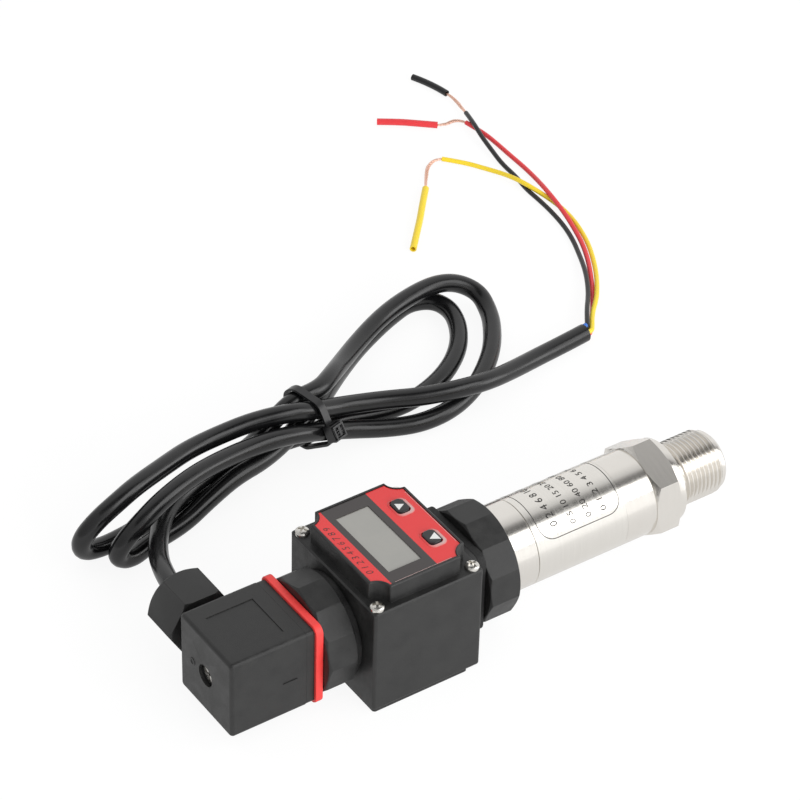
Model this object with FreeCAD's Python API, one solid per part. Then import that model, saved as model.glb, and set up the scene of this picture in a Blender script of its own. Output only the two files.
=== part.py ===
import FreeCAD, Part
import math
import os
from FreeCAD import Vector

# Pressure transmitter with a plug-in display head, millimetres.
# +X runs along the device to the process thread, +Z is up, +Y is the cable side.
# The origin is on the underside of the display head.

axis_z = 18.4            # height of the device axis
running = 0.05           # radial gap of turning screw threads
slide_gap = 0.15         # gap of blades and keys that slide
seat_gap = 0.1           # gap between the plug's gasket and the display head

# display head: a box with a raised, notched cover
head_half_x, head_half_y = 18.1, 21.4
foot_h, foot_inset, foot_cut = 0.7, 0.3, 4.0
seam_z, plate_t, block_h = 34.7, 1.5, 5.9
ledge_z = seam_z + plate_t
cover_z = ledge_z + block_h
head_wall, head_round, edge_cut = 2.2, 1.0, 0.45
block_inset_x, block_inset_y, notch_r = 2.25, 2.4, 4.1
cover_half_x, cover_half_y = head_half_x - block_inset_x, head_half_y - block_inset_y
cover_wall, cover_roof = 1.7, 1.9
overlay_t, overlay_sink, overlay_rim = 0.3, 0.3, 0.95
overlay_gap = 0.05
screw_inset_x, screw_inset_y = 0.05, 0.2
screw_x, screw_y = cover_half_x - screw_inset_x, cover_half_y - screw_inset_y
screw_head_r, screw_head_h, screw_r, screw_deep, boss_r = 2.0, 1.5, 1.45, 6.5, 3.6
recess_l, recess_w, recess_deep = 2.4, 0.5, 0.8
key_w, key_l, key_corner, key_proud, key_travel, key_flange = 4.2, 5.8, 1.1, 0.5, 0.4, 0.6
key_inset_x, key_inset_y, key_lip = 6.25, 11.1, 0.7
key_x, key_y = cover_half_x - key_inset_x, cover_half_y - key_inset_y
window_inset_x, window_inset_y, window_to_key = 7.25, 5.5, 4.9
window_x0, window_x1 = window_inset_x - cover_half_x, key_x - key_w / 2 - window_to_key
window_half_y = cover_half_y - window_inset_y
ring_w, ring_h, ring_shift_x, ring_shift_y = 0.75, 0.25, 0.25, -0.3
lcd_lip, switch_h, switch_r, board_t = 1.6, 2.2, 1.4, 1.6

# square interfaces of the plug connections
collar_half, collar_r = 14.1, 3.0
socket_wall, platform_inset, plug_inset = 2.8, 1.0, 0.8
socket_half = collar_half - socket_wall
platform_half, platform_h, platform_r = socket_half - platform_inset, 2.0, 1.0
plug_half = collar_half - plug_inset
collar_l, head_gasket_t, base_ring_l = 3.7, 2.5, 10.5
collar_x = head_half_x + collar_l
head_gasket_x = collar_x + head_gasket_t
base_ring_x = head_gasket_x + base_ring_l
base_ring_r, base_ring_phase, ring_drop, ring_run = 17.57, 8.3, 0.9, 0.7
neck_l, nut_ring_l, nut_ring_r, neck_r = 2.1, 9.7, 17.5, 15.5
nut_ring_x1 = -head_half_x - neck_l
nut_ring_x0 = nut_ring_x1 - nut_ring_l
shank_r, shank_l, wire_bore = 8.0, 10.1, 4.5
base_nut_af, base_nut_t = 22.0, 3.5
blade_w, blade_t, blade_l, blade_inset = 6.3, 0.8, 9.5, 3.7
blade_at = socket_half - blade_inset
contact_w, contact_t, contact_l = 7.2, 2.4, 7.0
fix_head_r, fix_head_h, fix_r, fix_slot, fix_bite = 2.8, 2.2, 1.5, 0.6, 6.0
contact_clear = 1.0

# cable plug
gasket_t = 2.4
plug_x1 = nut_ring_x0 - seat_gap - gasket_t
plug_l, plug_round, end_round, end_wall = 27.0, 1.5, 1.2, 5.0
plug_x0 = plug_x1 - plug_l
plug_wall_x = plug_x0 + end_wall
mouth_l, plug_groove_w, plug_groove_d, lip_step = 2.8, 0.3, 0.4, 0.1
groove_at = plug_x1 - mouth_l
recess_r, recess_depth = 3.4, 3.4
recess_x = plug_x0 + recess_depth
insert_t, insert_inset, terminal_r, terminal_h = 10.9, 0.7, 1.6, 2.2
insert_x = plug_x1 - insert_inset - insert_t
panel_l0, panel_l1, panel_y0, panel_y1, panel_h = 4.7, 7.2, -8.7, 7.3, 0.15
fix_end_x = nut_ring_x0 + fix_bite

# gland
gland_inset, gland_bore_r, spigot_r, spigot_l = 10.6, 5.4, 7.45, 15.0
gland_x, spigot_y = plug_x0 + gland_inset, plug_half + spigot_l
nut_af, nut_gap, nut_l, nut_wall, nut_bore_r = 19.2, 4.9, 14.8, 4.2, 4.4
nut_y0 = plug_half + nut_gap
nut_y1 = nut_y0 + nut_l
seal_inset, seal_l, washer_inset = 1.3, 7.8, 1.2
seal_y0 = plug_half + seal_inset
seal_y1 = seal_y0 + seal_l
washer_t = spigot_y - washer_inset - seal_y1

# steel parts
tube_r, tube_wall, end_ring_l, tube_l, lip_l, lip_t = 13.25, 1.2, 9.3, 31.4, 4.0, 1.6
ring_end_x = base_ring_x + end_ring_l
tube_end_x = ring_end_x + tube_l
spigot_end_r = tube_r - tube_wall - lip_t
hex_af, hex_phase, hex_drop, hex_run, shoulder_l, hex_l = 27.0, -7.0, 2.1, 1.2, 10.6, 8.6
hex_x0 = tube_end_x + shoulder_l
hex_x1 = hex_x0 + hex_l
step_r, step_l, groove_r, groove_l, thread_r, thread_l = 13.0, 2.8, 9.1, 2.0, 10.0, 13.0
step_x = hex_x1 + step_l
groove_x = step_x + groove_l
thread_x = groove_x + thread_l
tip_r, tip_l, tip_cut, edge = 9.1, 3.0, 1.0, 0.5
tip_x = thread_x + tip_l
port_r, sensor_r, sensor_inset, sensor_l, sensor_seat = 1.6, 9.5, 2.1, 7.0, 0.9
sensor_x0 = hex_x0 - sensor_inset
sensor_x1 = sensor_x0 + sensor_l
sensor_pin_r, sensor_pin_at, ring_bore_r, sensor_ring_t = 0.5, 4.0, 6.4, 3.5
oring_t = 1.5
pcb_t = 1.6
# parts on the board: place along it and across it, then length, width and height
pcb_parts = [(0.21, -0.33, 7, 7, 1.2), (0.64, 0.25, 5, 6, 1.6), (0.34, 0.5, 3, 4, 2.2), (0.77, -0.5, 3, 4, 1.4)]

# cable, its cores and the tie
cable_r, core_r, strand_r, sleeve_r, sleeve_in, core_lead = 2.95, 0.8, 0.55, 1.15, 0.8, 2.2
tie_x, tie_y, tie_turn, tie_w, tie_t, tie_gap = 30.6, 86.0, 16.0, 2.6, 0.8, 0.45
# middles of the outer strands in the tie's own plane: across it from its middle, and height
tie_hull = [(-5.35, 9.2), (-1.6, 15.9), (4.9, 16.7), (5.5, 16.2), (3.6, 4.35), (1.7, 4.35)]
tie_head_w, tie_head_t, tie_head_l, tie_head_at, tie_slot_w, tie_slot_t = 5.0, 3.7, 5.2, -6.1, 3.0, 1.3
cable_route = [
    (-48.8, 16, 18.4), (-48.8, 31, 18.4), (-45.5, 45.5, 16.2), (-41, 56, 12.8), (-34.5, 66.5, 10.6),
    (-27, 74.5, 10.2), (-16, 80, 9.8), (-4.5, 83, 9.4), (7, 86, 9.4), (13.5, 88, 10.2),
    (20.5, 90, 13.4), (28, 91, 16.8), (37.5, 91.5, 16.6), (44.5, 96, 15.8), (53.5, 103.5, 12.4),
    (63.5, 110.5, 10.8), (74.5, 116.5, 10.6), (85, 120.5, 10.8), (96.5, 123, 10.8), (104.5, 123.5, 10.2),
    (111, 122, 8.4), (115.5, 117.5, 5.6), (114.5, 111, 3.2), (111.5, 104.5, 3), (104.5, 94.5, 3),
    (96, 86.5, 3), (87, 80, 3), (75.5, 75.5, 3), (64, 75, 3), (53.5, 78, 3.6),
    (41.5, 81.5, 6), (29, 81, 10.8), (17.5, 80, 14.8), (4.5, 79.5, 16.2), (-8, 77, 18),
    (-19.5, 73.5, 19.6), (-31.5, 69.5, 19.2), (-39.5, 67, 17), (-46.5, 66.5, 12.2), (-48, 68, 6.2),
    (-43, 68.5, 3), (-35.5, 71, 3.2), (-22.5, 72.5, 4.2), (-12.5, 75, 7), (-1.5, 77.5, 9.4),
    (10, 80, 8.8), (22, 85, 8.6), (30.5, 88.5, 11), (39, 93.5, 9.8), (48, 101.5, 7),
    (58, 110, 4), (68.5, 117, 3), (80, 122.5, 3), (87.5, 125.5, 3), (95, 127.5, 3.4),
    (102, 124.5, 3.8), (104.5, 118, 3.4), (102, 109.5, 3), (95.5, 100, 3), (85.5, 92, 3),
    (74, 87, 3), (62.5, 85, 3), (50, 86.5, 4.2), (41.5, 87.5, 5.6), (33.5, 87.5, 4.4),
    (25, 89.5, 3.6), (18, 90, 3.4), (11, 89, 3), (0, 84.5, 3), (-11.5, 81.5, 3),
    (-22, 80, 3.2), (-32, 79.5, 3.1), (-40.5, 78, 3), (-48, 77.5, 3), (-54.5, 76.5, 5.4),
    (-55.5, 75, 11.4), (-50.5, 74, 17.2), (-43, 75, 20), (-35, 77.5, 21), (-23.5, 81.5, 20.2),
    (-13, 85.5, 19), (-1.5, 87.5, 18), (10.5, 87, 18.6), (22.5, 84.5, 18.6), (30.5, 84.5, 16),
    (43, 85.5, 12), (55.5, 83, 10.4), (67, 78.5, 9.8), (79.5, 75.5, 9.8), (90.5, 76, 8),
    (102.5, 79.5, 5.2), (114, 82.5, 3.4), (125.5, 84, 3), (133.5, 85, 3)]
core_exits = {"black": (0.9, 0.2), "red": (-0.1, -1.4), "yellow": (-0.9, 0.3), "blue": (0.8, 1.9)}
black_route = [
    (136.5, 87.6, 3.7), (141.4, 94.4, 3.6), (146.7, 100.7, 2.6), (151.3, 107.4, 2.4), (155.4, 114.6, 1.8),
    (159, 122.1, 0.9), (162.1, 129.6, 0.8), (164.3, 137.2, 0.8), (165.6, 145.4, 0.8), (166.2, 153.6, 0.8),
    (166.3, 161.9, 0.8), (167.7, 169.8, 0.8), (168.1, 178.5, 0.8), (169.2, 186.5, 1.7), (170.6, 194.3, 2.2),
    (172.4, 201.8, 3), (174.8, 209.4, 1.7)]
red_route = [
    (136.8, 86.2, 1.2), (141.7, 91.8, 0.8), (146.8, 98.3, 0.8), (151.6, 104.9, 0.8), (156, 111.9, 0.8),
    (160, 118.8, 0.8), (163.3, 126.2, 1.2), (165.8, 134.1, 1.5), (167.7, 142.1, 2.2), (168.7, 149.6, 3.1),
    (170.3, 157.4, 2.7), (172.4, 165.3, 1.2), (173.3, 173.4, 0.8), (173.4, 181.5, 0.8), (173.7, 189.7, 0.8),
    (173.6, 197.7, 0.8), (171.9, 205.2, 1.1)]
yellow_route = [
    (137.1, 85.7, 3.0), (141.9, 92.2, 2.6), (148.1, 98.1, 2.4), (153.3, 104.7, 1.5), (158, 111.5, 0.8),
    (161.9, 118.5, 0.8), (165.2, 125.5, 0.8), (167.6, 132.6, 0.8), (169.4, 140.2, 0.8), (170, 148.1, 0.8),
    (168.7, 156, 1.4), (165.8, 163.4, 3), (164.8, 171.4, 1.7), (162, 178.7, 0.8), (157.8, 185.9, 0.8),
    (152.1, 191.2, 1.3)]
black_strand = [(174.8, 209.4, 1.7), (175.7, 212.9, 1.2), (176.4, 216.3, 1.1), (176.8, 219.9, 1.2),
                (176.5, 223.5, 1.2)]
red_strand = [(171.9, 205.2, 1.1), (170.5, 207.2, 1.4), (168, 208.1, 1.3), (165.1, 208.2, 0.9),
              (162.6, 209, 1.2)]
yellow_strand = [(152.1, 191.2, 1.3), (149.7, 191.9, 1.4), (147.1, 191.1, 1.1), (144.9, 189.4, 0.9),
                 (142.4, 186.4, 0.8), (140, 183.2, 1), (137.6, 179.8, 1.2)]
black_sleeve = [(176.5, 223.5, 1.2), (175.3, 231, 1.4), (172.3, 238.4, 1.2)]
red_sleeve = [(162.6, 209, 1.2), (157.2, 212.9, 1.6), (151.9, 217.4, 1.6), (146.2, 221.8, 1.2)]
yellow_sleeve = [(137.6, 179.8, 1.2), (131.9, 173.2, 1.4), (126.2, 166.4, 1.3), (120.5, 160, 1.4),
                 (114.6, 153.5, 1.2)]

along = Vector(1, 0, 0)
across = Vector(0, 1, 0)
nodes = {}


def box(x0, x1, y0, y1, z0, z1):
    return Part.makeBox(x1 - x0, y1 - y0, z1 - z0, Vector(x0, y0, z0))


def square(x0, x1, half, corner=0.0):
    body = box(x0, x1, -half, half, axis_z - half, axis_z + half)
    if corner:
        body = body.makeFillet(corner, [e for e in body.Edges if abs(e.tangentAt(0).x) > 0.9])
    return body


def rod(x0, x1, r, y=0.0, z=axis_z):
    return Part.makeCylinder(r, x1 - x0, Vector(x0, y, z), along)


def prism(sides, r, x0, x1, phase=0.0):
    pts = []
    for i in range(sides + 1):
        a = math.radians(phase + 360.0 * i / sides)
        pts.append(Vector(x0, -r * math.sin(a), axis_z + r * math.cos(a)))
    return Part.Face(Part.makePolygon(pts)).extrude(Vector(x1 - x0, 0, 0))


def turned(profile):
    """A solid turned about the device axis from points (x, radius)."""
    pts = [Vector(x, 0, axis_z + r) for x, r in profile]
    return Part.Face(Part.makePolygon(pts + [pts[0]])).revolve(Vector(0, 0, axis_z), along, 360)


def nut_form(sides, r, x0, x1, phase, drop, run, bare=()):
    """A prism with its corners turned off at the ends that are not in bare."""
    left = r if "left" in bare else r - drop
    right = r if "right" in bare else r - drop
    cone = turned([(x0, 0), (x0, left), (x0 + run, r), (x1 - run, r), (x1, right), (x1, 0)])
    return prism(sides, r, x0, x1, phase).common(cone)


def gland_turned(profile):
    """A solid turned about the gland axis from points (y, radius)."""
    pts = [Vector(gland_x + r, y, axis_z) for y, r in profile]
    return Part.Face(Part.makePolygon(pts + [pts[0]])).revolve(Vector(gland_x, 0, axis_z), across, 360)


def gland_rod(y0, y1, r):
    return Part.makeCylinder(r, y1 - y0, Vector(gland_x, y0, axis_z), across)


def lies_at_x(edge, x):
    return all(abs(v.X - x) < 1e-6 for v in edge.Vertexes)


def path(points):
    """Straight runs joined by tangent arcs, as large as the two runs allow."""
    pts = [Vector(*p) for p in points]
    edges, radii, here = [], [], pts[0]
    for before, at, after in zip(pts, pts[1:], pts[2:]):
        back, ahead = before - at, after - at
        reach = 0.45 * min(back.Length, ahead.Length)
        turn = math.pi - back.getAngle(ahead)
        radii.append(reach / math.tan(turn / 2))
        back.normalize()
        ahead.normalize()
        start, end = at + back * reach, at + ahead * reach
        bisector = (back + ahead).normalize()
        depth = radii[-1] / math.cos(turn / 2) - radii[-1]
        edges.append(Part.LineSegment(here, start).toShape())
        edges.append(Part.Arc(start, at + bisector * depth, end).toShape())
        here = end
    edges.append(Part.LineSegment(here, pts[-1]).toShape())
    return Part.Wire(edges), radii, (pts[1] - pts[0])


def cord(name, points, r, bore=0.0):
    wire, radii, heading = path(points)
    tube = wire.makePipeShell([Part.Wire(Part.makeCircle(r, Vector(*points[0]), heading))], True, False)
    if bore:
        inner = wire.makePipeShell([Part.Wire(Part.makeCircle(bore, Vector(*points[0]), heading))], True, False)
        tube = tube.cut(inner)
    expected = math.pi * (r * r - bore * bore) * wire.Length
    print("%s: length %.1f, least radius %.1f, volume %.4f of expected"
          % (name, wire.Length, min(radii), tube.Volume / expected))
    nodes[name] = tube


# steel body: fitting, tube, end ring and the sensor inside
inner_r = tube_r - tube_wall
sleeve_x0 = tube_end_x - lip_l
fitting = turned([(sleeve_x0, 0), (sleeve_x0, inner_r), (tube_end_x, inner_r), (tube_end_x, tube_r),
                  (hex_x0 + hex_run, tube_r), (hex_x0 + hex_run, 0)])
fitting = fitting.fuse(nut_form(6, hex_af / math.sqrt(3), hex_x0, hex_x1, hex_phase, hex_drop, hex_run))
fitting = fitting.fuse(turned([
    (hex_x1, 0), (hex_x1, step_r), (step_x - edge, step_r), (step_x, step_r - edge),
    (step_x, groove_r), (groove_x - 0.4, groove_r), (groove_x, thread_r), (thread_x, thread_r),
    (thread_x + thread_r - tip_r, tip_r), (tip_x - tip_cut, tip_r), (tip_x, tip_r - tip_cut), (tip_x, 0)]))
fitting = fitting.cut(rod(sleeve_x0, sensor_x1 + oring_t - sensor_seat, sensor_r))
fitting = fitting.cut(rod(sensor_x1, tip_x, port_r))
nodes["process_fitting"] = fitting.removeSplitter()

nodes["transmitter_tube"] = rod(ring_end_x, tube_end_x, tube_r).cut(rod(ring_end_x, tube_end_x, inner_r))

spigot_end_x = ring_end_x + lip_l
nodes["tube_end_ring"] = turned([
    (base_ring_x, spigot_end_r), (base_ring_x, tube_r - edge), (base_ring_x + edge, tube_r),
    (ring_end_x - edge / 2, tube_r), (ring_end_x, tube_r - edge / 2), (ring_end_x, inner_r),
    (spigot_end_x, inner_r), (spigot_end_x, spigot_end_r)])

capsule = turned([(sensor_x0, 0), (sensor_x0, sensor_r - 1.2), (sensor_x0 + 1.2, sensor_r),
                  (sensor_x1 - sensor_seat, sensor_r), (sensor_x1 - sensor_seat, sensor_r - sensor_inset),
                  (sensor_x1, sensor_r - sensor_inset),
                  (sensor_x1, 0)])
for k in range(4):
    a = math.radians(45 + 90 * k)
    capsule = capsule.fuse(rod(sensor_x0 - sensor_ring_t, sensor_x0, sensor_pin_r,
                               sensor_pin_at * math.cos(a), axis_z + sensor_pin_at * math.sin(a)))
nodes["sensor_capsule"] = capsule
seal_x0, seal_out = sensor_x1 - sensor_seat, sensor_r - seat_gap
nodes["sensor_seal"] = turned([(seal_x0, seal_out - oring_t), (seal_x0, seal_out),
                               (seal_x0 + oring_t, seal_out), (seal_x0 + oring_t, seal_out - oring_t)])
ring = rod(sensor_x0 - sensor_ring_t, sensor_x0, sensor_r)
nodes["sensor_retaining_ring"] = ring.cut(rod(sensor_x0 - sensor_ring_t, sensor_x0, ring_bore_r))

board_half = math.sqrt(inner_r ** 2 - (pcb_t / 2) ** 2)
board_l = sleeve_x0 - spigot_end_x
board_z = axis_z + pcb_t / 2
board = box(spigot_end_x, sleeve_x0, -board_half, board_half, axis_z - pcb_t / 2, board_z)
for part_at, part_side, w, l, h in pcb_parts:
    x, y = spigot_end_x + part_at * board_l, part_side * board_half
    board = board.fuse(box(x - w / 2, x + w / 2, y - l / 2, y + l / 2, board_z, board_z + h))
nodes["signal_board"] = board

# plug base of the steel body, with its blades
blade_places = [(0.0, blade_at, True), (0.0, -blade_at, True), (blade_at, 0.0, False), (-blade_at, 0.0, False)]


def blades(x0, x1, width, thick):
    out = []
    for y, z, flat in blade_places:
        hy, hz = (width / 2, thick / 2) if flat else (thick / 2, width / 2)
        out.append(box(x0, x1, y - hy, y + hy, axis_z + z - hz, axis_z + z + hz))
    return out


face_x = head_gasket_x - platform_h
screw_end_x = head_gasket_x + fix_bite
base = nut_form(12, base_ring_r, head_gasket_x, base_ring_x, base_ring_phase, ring_drop, ring_run)
base = base.fuse(square(face_x, head_gasket_x, platform_half, platform_r))
base = base.fuse(rod(base_ring_x, spigot_end_x, spigot_end_r))
base = base.cut(rod(face_x, screw_end_x + 2, fix_r + running))
pins = blades(face_x - blade_l, base_ring_x, blade_w, blade_t)
nodes["transmitter_plug_base"] = base.cut(Part.makeCompound(pins)).removeSplitter()
nodes["transmitter_pins"] = Part.makeCompound(pins)

ring_hole = square(collar_x, head_gasket_x, platform_half + 0.2, platform_r)
nodes["head_gasket"] = square(collar_x, head_gasket_x, collar_half, collar_r).cut(ring_hole)

# display head
screw_spots = [(sx * screw_x, sy * screw_y) for sx in (-1, 1) for sy in (-1, 1)]


def at_screws(r, z0, z1):
    return [Part.makeCylinder(r, z1 - z0, Vector(x, y, z0)) for x, y in screw_spots]


def upright(body):
    return [e for e in body.Edges if abs(e.tangentAt(0).z) > 0.9]


def ring_edges(body, z):
    return [e for e in body.Edges if all(abs(v.Z - z) < 1e-6 for v in e.Vertexes)]


shell = box(-head_half_x, head_half_x, -head_half_y, head_half_y, foot_h, seam_z)
shell = shell.makeFillet(head_round, upright(shell) + ring_edges(shell, foot_h))
foot = box(-head_half_x + foot_inset, head_half_x - foot_cut, -head_half_y + foot_inset,
           head_half_y - foot_inset, 0, foot_h + head_round)
shell = shell.fuse(foot.makeFillet(head_round, upright(foot)))
shell = shell.fuse(square(head_half_x - head_wall, collar_x, collar_half, collar_r))
cavity = box(-head_half_x + head_wall, head_half_x - head_wall, -head_half_y + head_wall,
             head_half_y - head_wall, foot_h + head_wall, seam_z)
cavity = cavity.cut(Part.makeCompound(at_screws(boss_r, 0, seam_z)))
shell = shell.cut(cavity)
shell = shell.cut(square(head_half_x - head_wall, collar_x, socket_half))
shell = shell.cut(rod(-head_half_x, -head_half_x + head_wall, shank_r))
shell = shell.cut(Part.makeCompound(at_screws(screw_r, seam_z - screw_deep - 0.5, seam_z)))
nodes["display_housing"] = shell.removeSplitter()

plate = box(-head_half_x, head_half_x, -head_half_y, head_half_y, seam_z, ledge_z)
plate = plate.makeFillet(head_round, upright(plate))
plate = plate.makeChamfer(edge_cut, ring_edges(plate, ledge_z))


def notched(half_x, half_y, r, z0, z1):
    body = box(-half_x, half_x, -half_y, half_y, z0, z1)
    return body.cut(Part.makeCompound(at_screws(r, z0, z1)))


block = notched(cover_half_x, cover_half_y, notch_r, ledge_z - edge_cut, cover_z)
block = block.makeFillet(edge_cut, upright(block))
block = block.makeChamfer(0.8 * edge_cut, ring_edges(block, cover_z))
cover = plate.fuse(block)
overlay_z = cover_z - overlay_sink - overlay_t
grow = notch_r + overlay_rim - 0.3
rim_x, rim_y = cover_half_x - overlay_rim, cover_half_y - overlay_rim
cover = cover.cut(notched(rim_x, rim_y, grow, overlay_z, cover_z))
roof_z = overlay_z - cover_roof
cover = cover.cut(notched(cover_half_x - cover_wall, cover_half_y - cover_wall, notch_r + cover_wall,
                          seam_z, roof_z))
cover = cover.cut(box(window_x0, window_x1, -window_half_y, window_half_y, roof_z, overlay_z))
cover = cover.cut(Part.makeCompound(at_screws(screw_r + slide_gap, seam_z, ledge_z)))


def key_block(x0, y0, grow_by, z0, z1, corner=key_corner):
    hx, hy = key_w / 2 + grow_by, key_l / 2 + grow_by
    body = box(x0 - hx, x0 + hx, y0 - hy, y0 + hy, z0, z1)
    return body.makeChamfer(corner, upright(body))


key_spots = [("down_button", key_y), ("up_button", -key_y)]
for _, y in key_spots:
    cover = cover.cut(key_block(key_x, y, slide_gap, roof_z, overlay_z))
nodes["display_cover"] = cover.removeSplitter()

film_top = overlay_z + overlay_t
overlay = notched(rim_x - overlay_gap, rim_y - overlay_gap, grow + overlay_gap, overlay_z, film_top)
for _, y in key_spots:
    overlay = overlay.cut(key_block(key_x, y, slide_gap, overlay_z, film_top))
nodes["front_overlay"] = overlay.cut(box(window_x0 + 0.2, window_x1 - 0.2, -window_half_y + 0.2,
                                         window_half_y - 0.2, overlay_z, film_top))

rings = []
for _, y in key_spots:
    outer = key_block(key_x + ring_shift_x, y + ring_shift_y, slide_gap + ring_w, film_top, film_top + ring_h,
                      key_corner + 0.5)
    rings.append(outer.cut(key_block(key_x, y, slide_gap, film_top, film_top + ring_h)))
nodes["button_rings"] = Part.makeCompound(rings)

flange_top = roof_z - seat_gap
switch_top = flange_top - key_flange - key_travel - seat_gap
board_top = switch_top - switch_h
key_top = cover_z + key_proud
for name, y in key_spots:
    stem = key_block(key_x, y, 0, flange_top - key_flange, key_top)
    stem = stem.makeChamfer(0.25, ring_edges(stem, key_top))
    hx, hy = key_w / 2 + key_lip, key_l / 2 + key_lip
    flange = box(key_x - hx, key_x + hx, y - hy, y + hy, flange_top - key_flange, flange_top)
    nodes[name] = stem.fuse(flange)

lcd = box(window_x0 - lcd_lip, window_x1 + lcd_lip, -window_half_y - lcd_lip, window_half_y + lcd_lip,
          board_top, roof_z)
lcd = lcd.fuse(box(window_x0 + 0.1, window_x1 - 0.1, -window_half_y + 0.1, window_half_y - 0.1,
                   roof_z, overlay_z))
nodes["lcd_module"] = lcd

nodes["display_board"] = notched(cover_half_x - cover_wall - 0.5, cover_half_y - cover_wall - 0.5,
                                 notch_r + cover_wall + 0.4, board_top - board_t, board_top)
switches = []
for _, y in key_spots:
    button_h = switch_h / 3
    body = box(key_x - key_w / 2, key_x + key_w / 2, y - key_l / 2, y + key_l / 2, board_top,
               switch_top - button_h)
    switches.append(body.fuse(Part.makeCylinder(switch_r, button_h, Vector(key_x, y, switch_top - button_h))))
nodes["button_switches"] = Part.makeCompound(switches)


def cross(x0, y0, z0, z1):
    """The cut of a cross recess in a head that faces up."""
    a, b = recess_l / 2, recess_w / 2
    bars = [box(x0 - i, x0 + i, y0 - j, y0 + j, z0, z1) for i, j in ((a, b), (b, a))]
    return bars[0].fuse(bars[1])


screws = []
for x, y in screw_spots:
    screw = Part.makeCylinder(screw_r, screw_deep + ledge_z - seam_z, Vector(x, y, seam_z - screw_deep))
    rim_h = 0.55 * screw_head_h
    screw = screw.fuse(Part.makeCylinder(screw_head_r, rim_h, Vector(x, y, ledge_z)))
    screw = screw.fuse(Part.makeCone(screw_head_r, 0.65 * screw_head_r, screw_head_h - rim_h,
                                     Vector(x, y, ledge_z + rim_h)))
    screws.append(screw.cut(cross(x, y, ledge_z + screw_head_h - recess_deep, ledge_z + screw_head_h)))
nodes["cover_screws"] = Part.makeCompound(screws)

# socket that takes the blades of the transmitter
socket_x0 = face_x - contact_l - 2 * contact_clear - fix_head_h
socket = square(socket_x0, collar_x, socket_half)
slot_x0 = face_x - blade_l - contact_clear
socket = socket.cut(Part.makeCompound(blades(slot_x0, collar_x, contact_w, contact_t)))
nodes["head_socket_insert"] = socket.cut(rod(socket_x0, collar_x, fix_r + slide_gap))


def contacts(x0, x1):
    outer = blades(x0, x1, contact_w, contact_t)
    hole = blades(x0, x1, blade_w + 2 * slide_gap, blade_t + 2 * slide_gap)
    return Part.makeCompound([a.cut(b) for a, b in zip(outer, hole)])


nodes["head_socket_contacts"] = contacts(face_x - contact_l - contact_clear, face_x - contact_clear)
fixing = rod(socket_x0 - fix_head_h, socket_x0, fix_head_r)
fixing = fixing.cut(box(socket_x0 - fix_head_h, socket_x0 - fix_head_h / 2, -fix_head_r, fix_head_r,
                        axis_z - fix_slot / 2, axis_z + fix_slot / 2))
nodes["head_fixing_screw"] = fixing.fuse(rod(socket_x0, screw_end_x, fix_r))

# plug base of the display head, held by a nut inside
pad_x = nut_ring_x0 - platform_h
wall_in = -head_half_x + head_wall
shank_end = shank_l - head_half_x
dbase = nut_form(12, nut_ring_r, nut_ring_x0, nut_ring_x1, 0.0, ring_drop, ring_run)
dbase = dbase.fuse(rod(nut_ring_x1, -head_half_x, neck_r)).fuse(rod(-head_half_x, shank_end, shank_r))
dbase = dbase.fuse(square(pad_x, nut_ring_x0, platform_half, platform_r))
dpins = blades(pad_x - blade_l, nut_ring_x1 - 2, blade_w, blade_t)
dbase = dbase.cut(Part.makeCompound(dpins))
dbase = dbase.cut(rod(pad_x, fix_end_x + 1, fix_r + running)).cut(rod(nut_ring_x1, shank_end, wire_bore))
nodes["display_plug_base"] = dbase.removeSplitter()
nodes["display_pins"] = Part.makeCompound(dpins)
base_nut = nut_form(6, base_nut_af / math.sqrt(3), wall_in, wall_in + base_nut_t, 0.0, 1.4, 0.8, ("left",))
nodes["display_base_nut"] = base_nut.cut(rod(wall_in, wall_in + base_nut_t, shank_r))

# cable plug
gasket_x1 = nut_ring_x0 - seat_gap
red = square(plug_x1, gasket_x1, collar_half, collar_r - 0.4)
nodes["plug_gasket"] = red.cut(square(plug_x1, gasket_x1, platform_half + 0.3, platform_r))

plug = square(plug_x0, groove_at, plug_half, plug_round)
plug = plug.makeFillet(end_round, [e for e in plug.Edges if lies_at_x(e, plug_x0)])
plug = plug.fuse(square(groove_at, groove_at + plug_groove_w, plug_half - plug_groove_d, plug_round))
plug = plug.fuse(square(groove_at + plug_groove_w, plug_x1, plug_half - lip_step, plug_round))
plug = plug.fuse(gland_rod(0, spigot_y, spigot_r))
plug = plug.fuse(box(plug_x0 + panel_l0, plug_x1 - panel_l1, panel_y0, panel_y1, axis_z + plug_half - 1,
                     axis_z + plug_half + panel_h))
plug = plug.cut(square(plug_wall_x, plug_x1, socket_half))
plug = plug.cut(gland_rod(0, spigot_y, gland_bore_r))
plug = plug.fuse(rod(plug_wall_x, insert_x, recess_r + 0.2))
plug = plug.cut(rod(plug_x0, recess_x, recess_r)).cut(rod(recess_x, insert_x, fix_r + slide_gap))
nodes["plug_housing"] = plug.removeSplitter()

insert = square(insert_x, insert_x + insert_t, socket_half)
insert = insert.cut(Part.makeCompound(blades(insert_x + 1.5, insert_x + insert_t, contact_w, contact_t)))
nodes["plug_insert"] = insert.cut(rod(insert_x, insert_x + insert_t, fix_r + slide_gap))
nodes["plug_contacts"] = contacts(insert_x + 1.5, insert_x + 3.5 + contact_l)
nodes["terminal_screws"] = Part.makeCompound(
    [rod(insert_x - terminal_h, insert_x, terminal_r, y, axis_z + z) for y, z, _ in blade_places])

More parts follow.
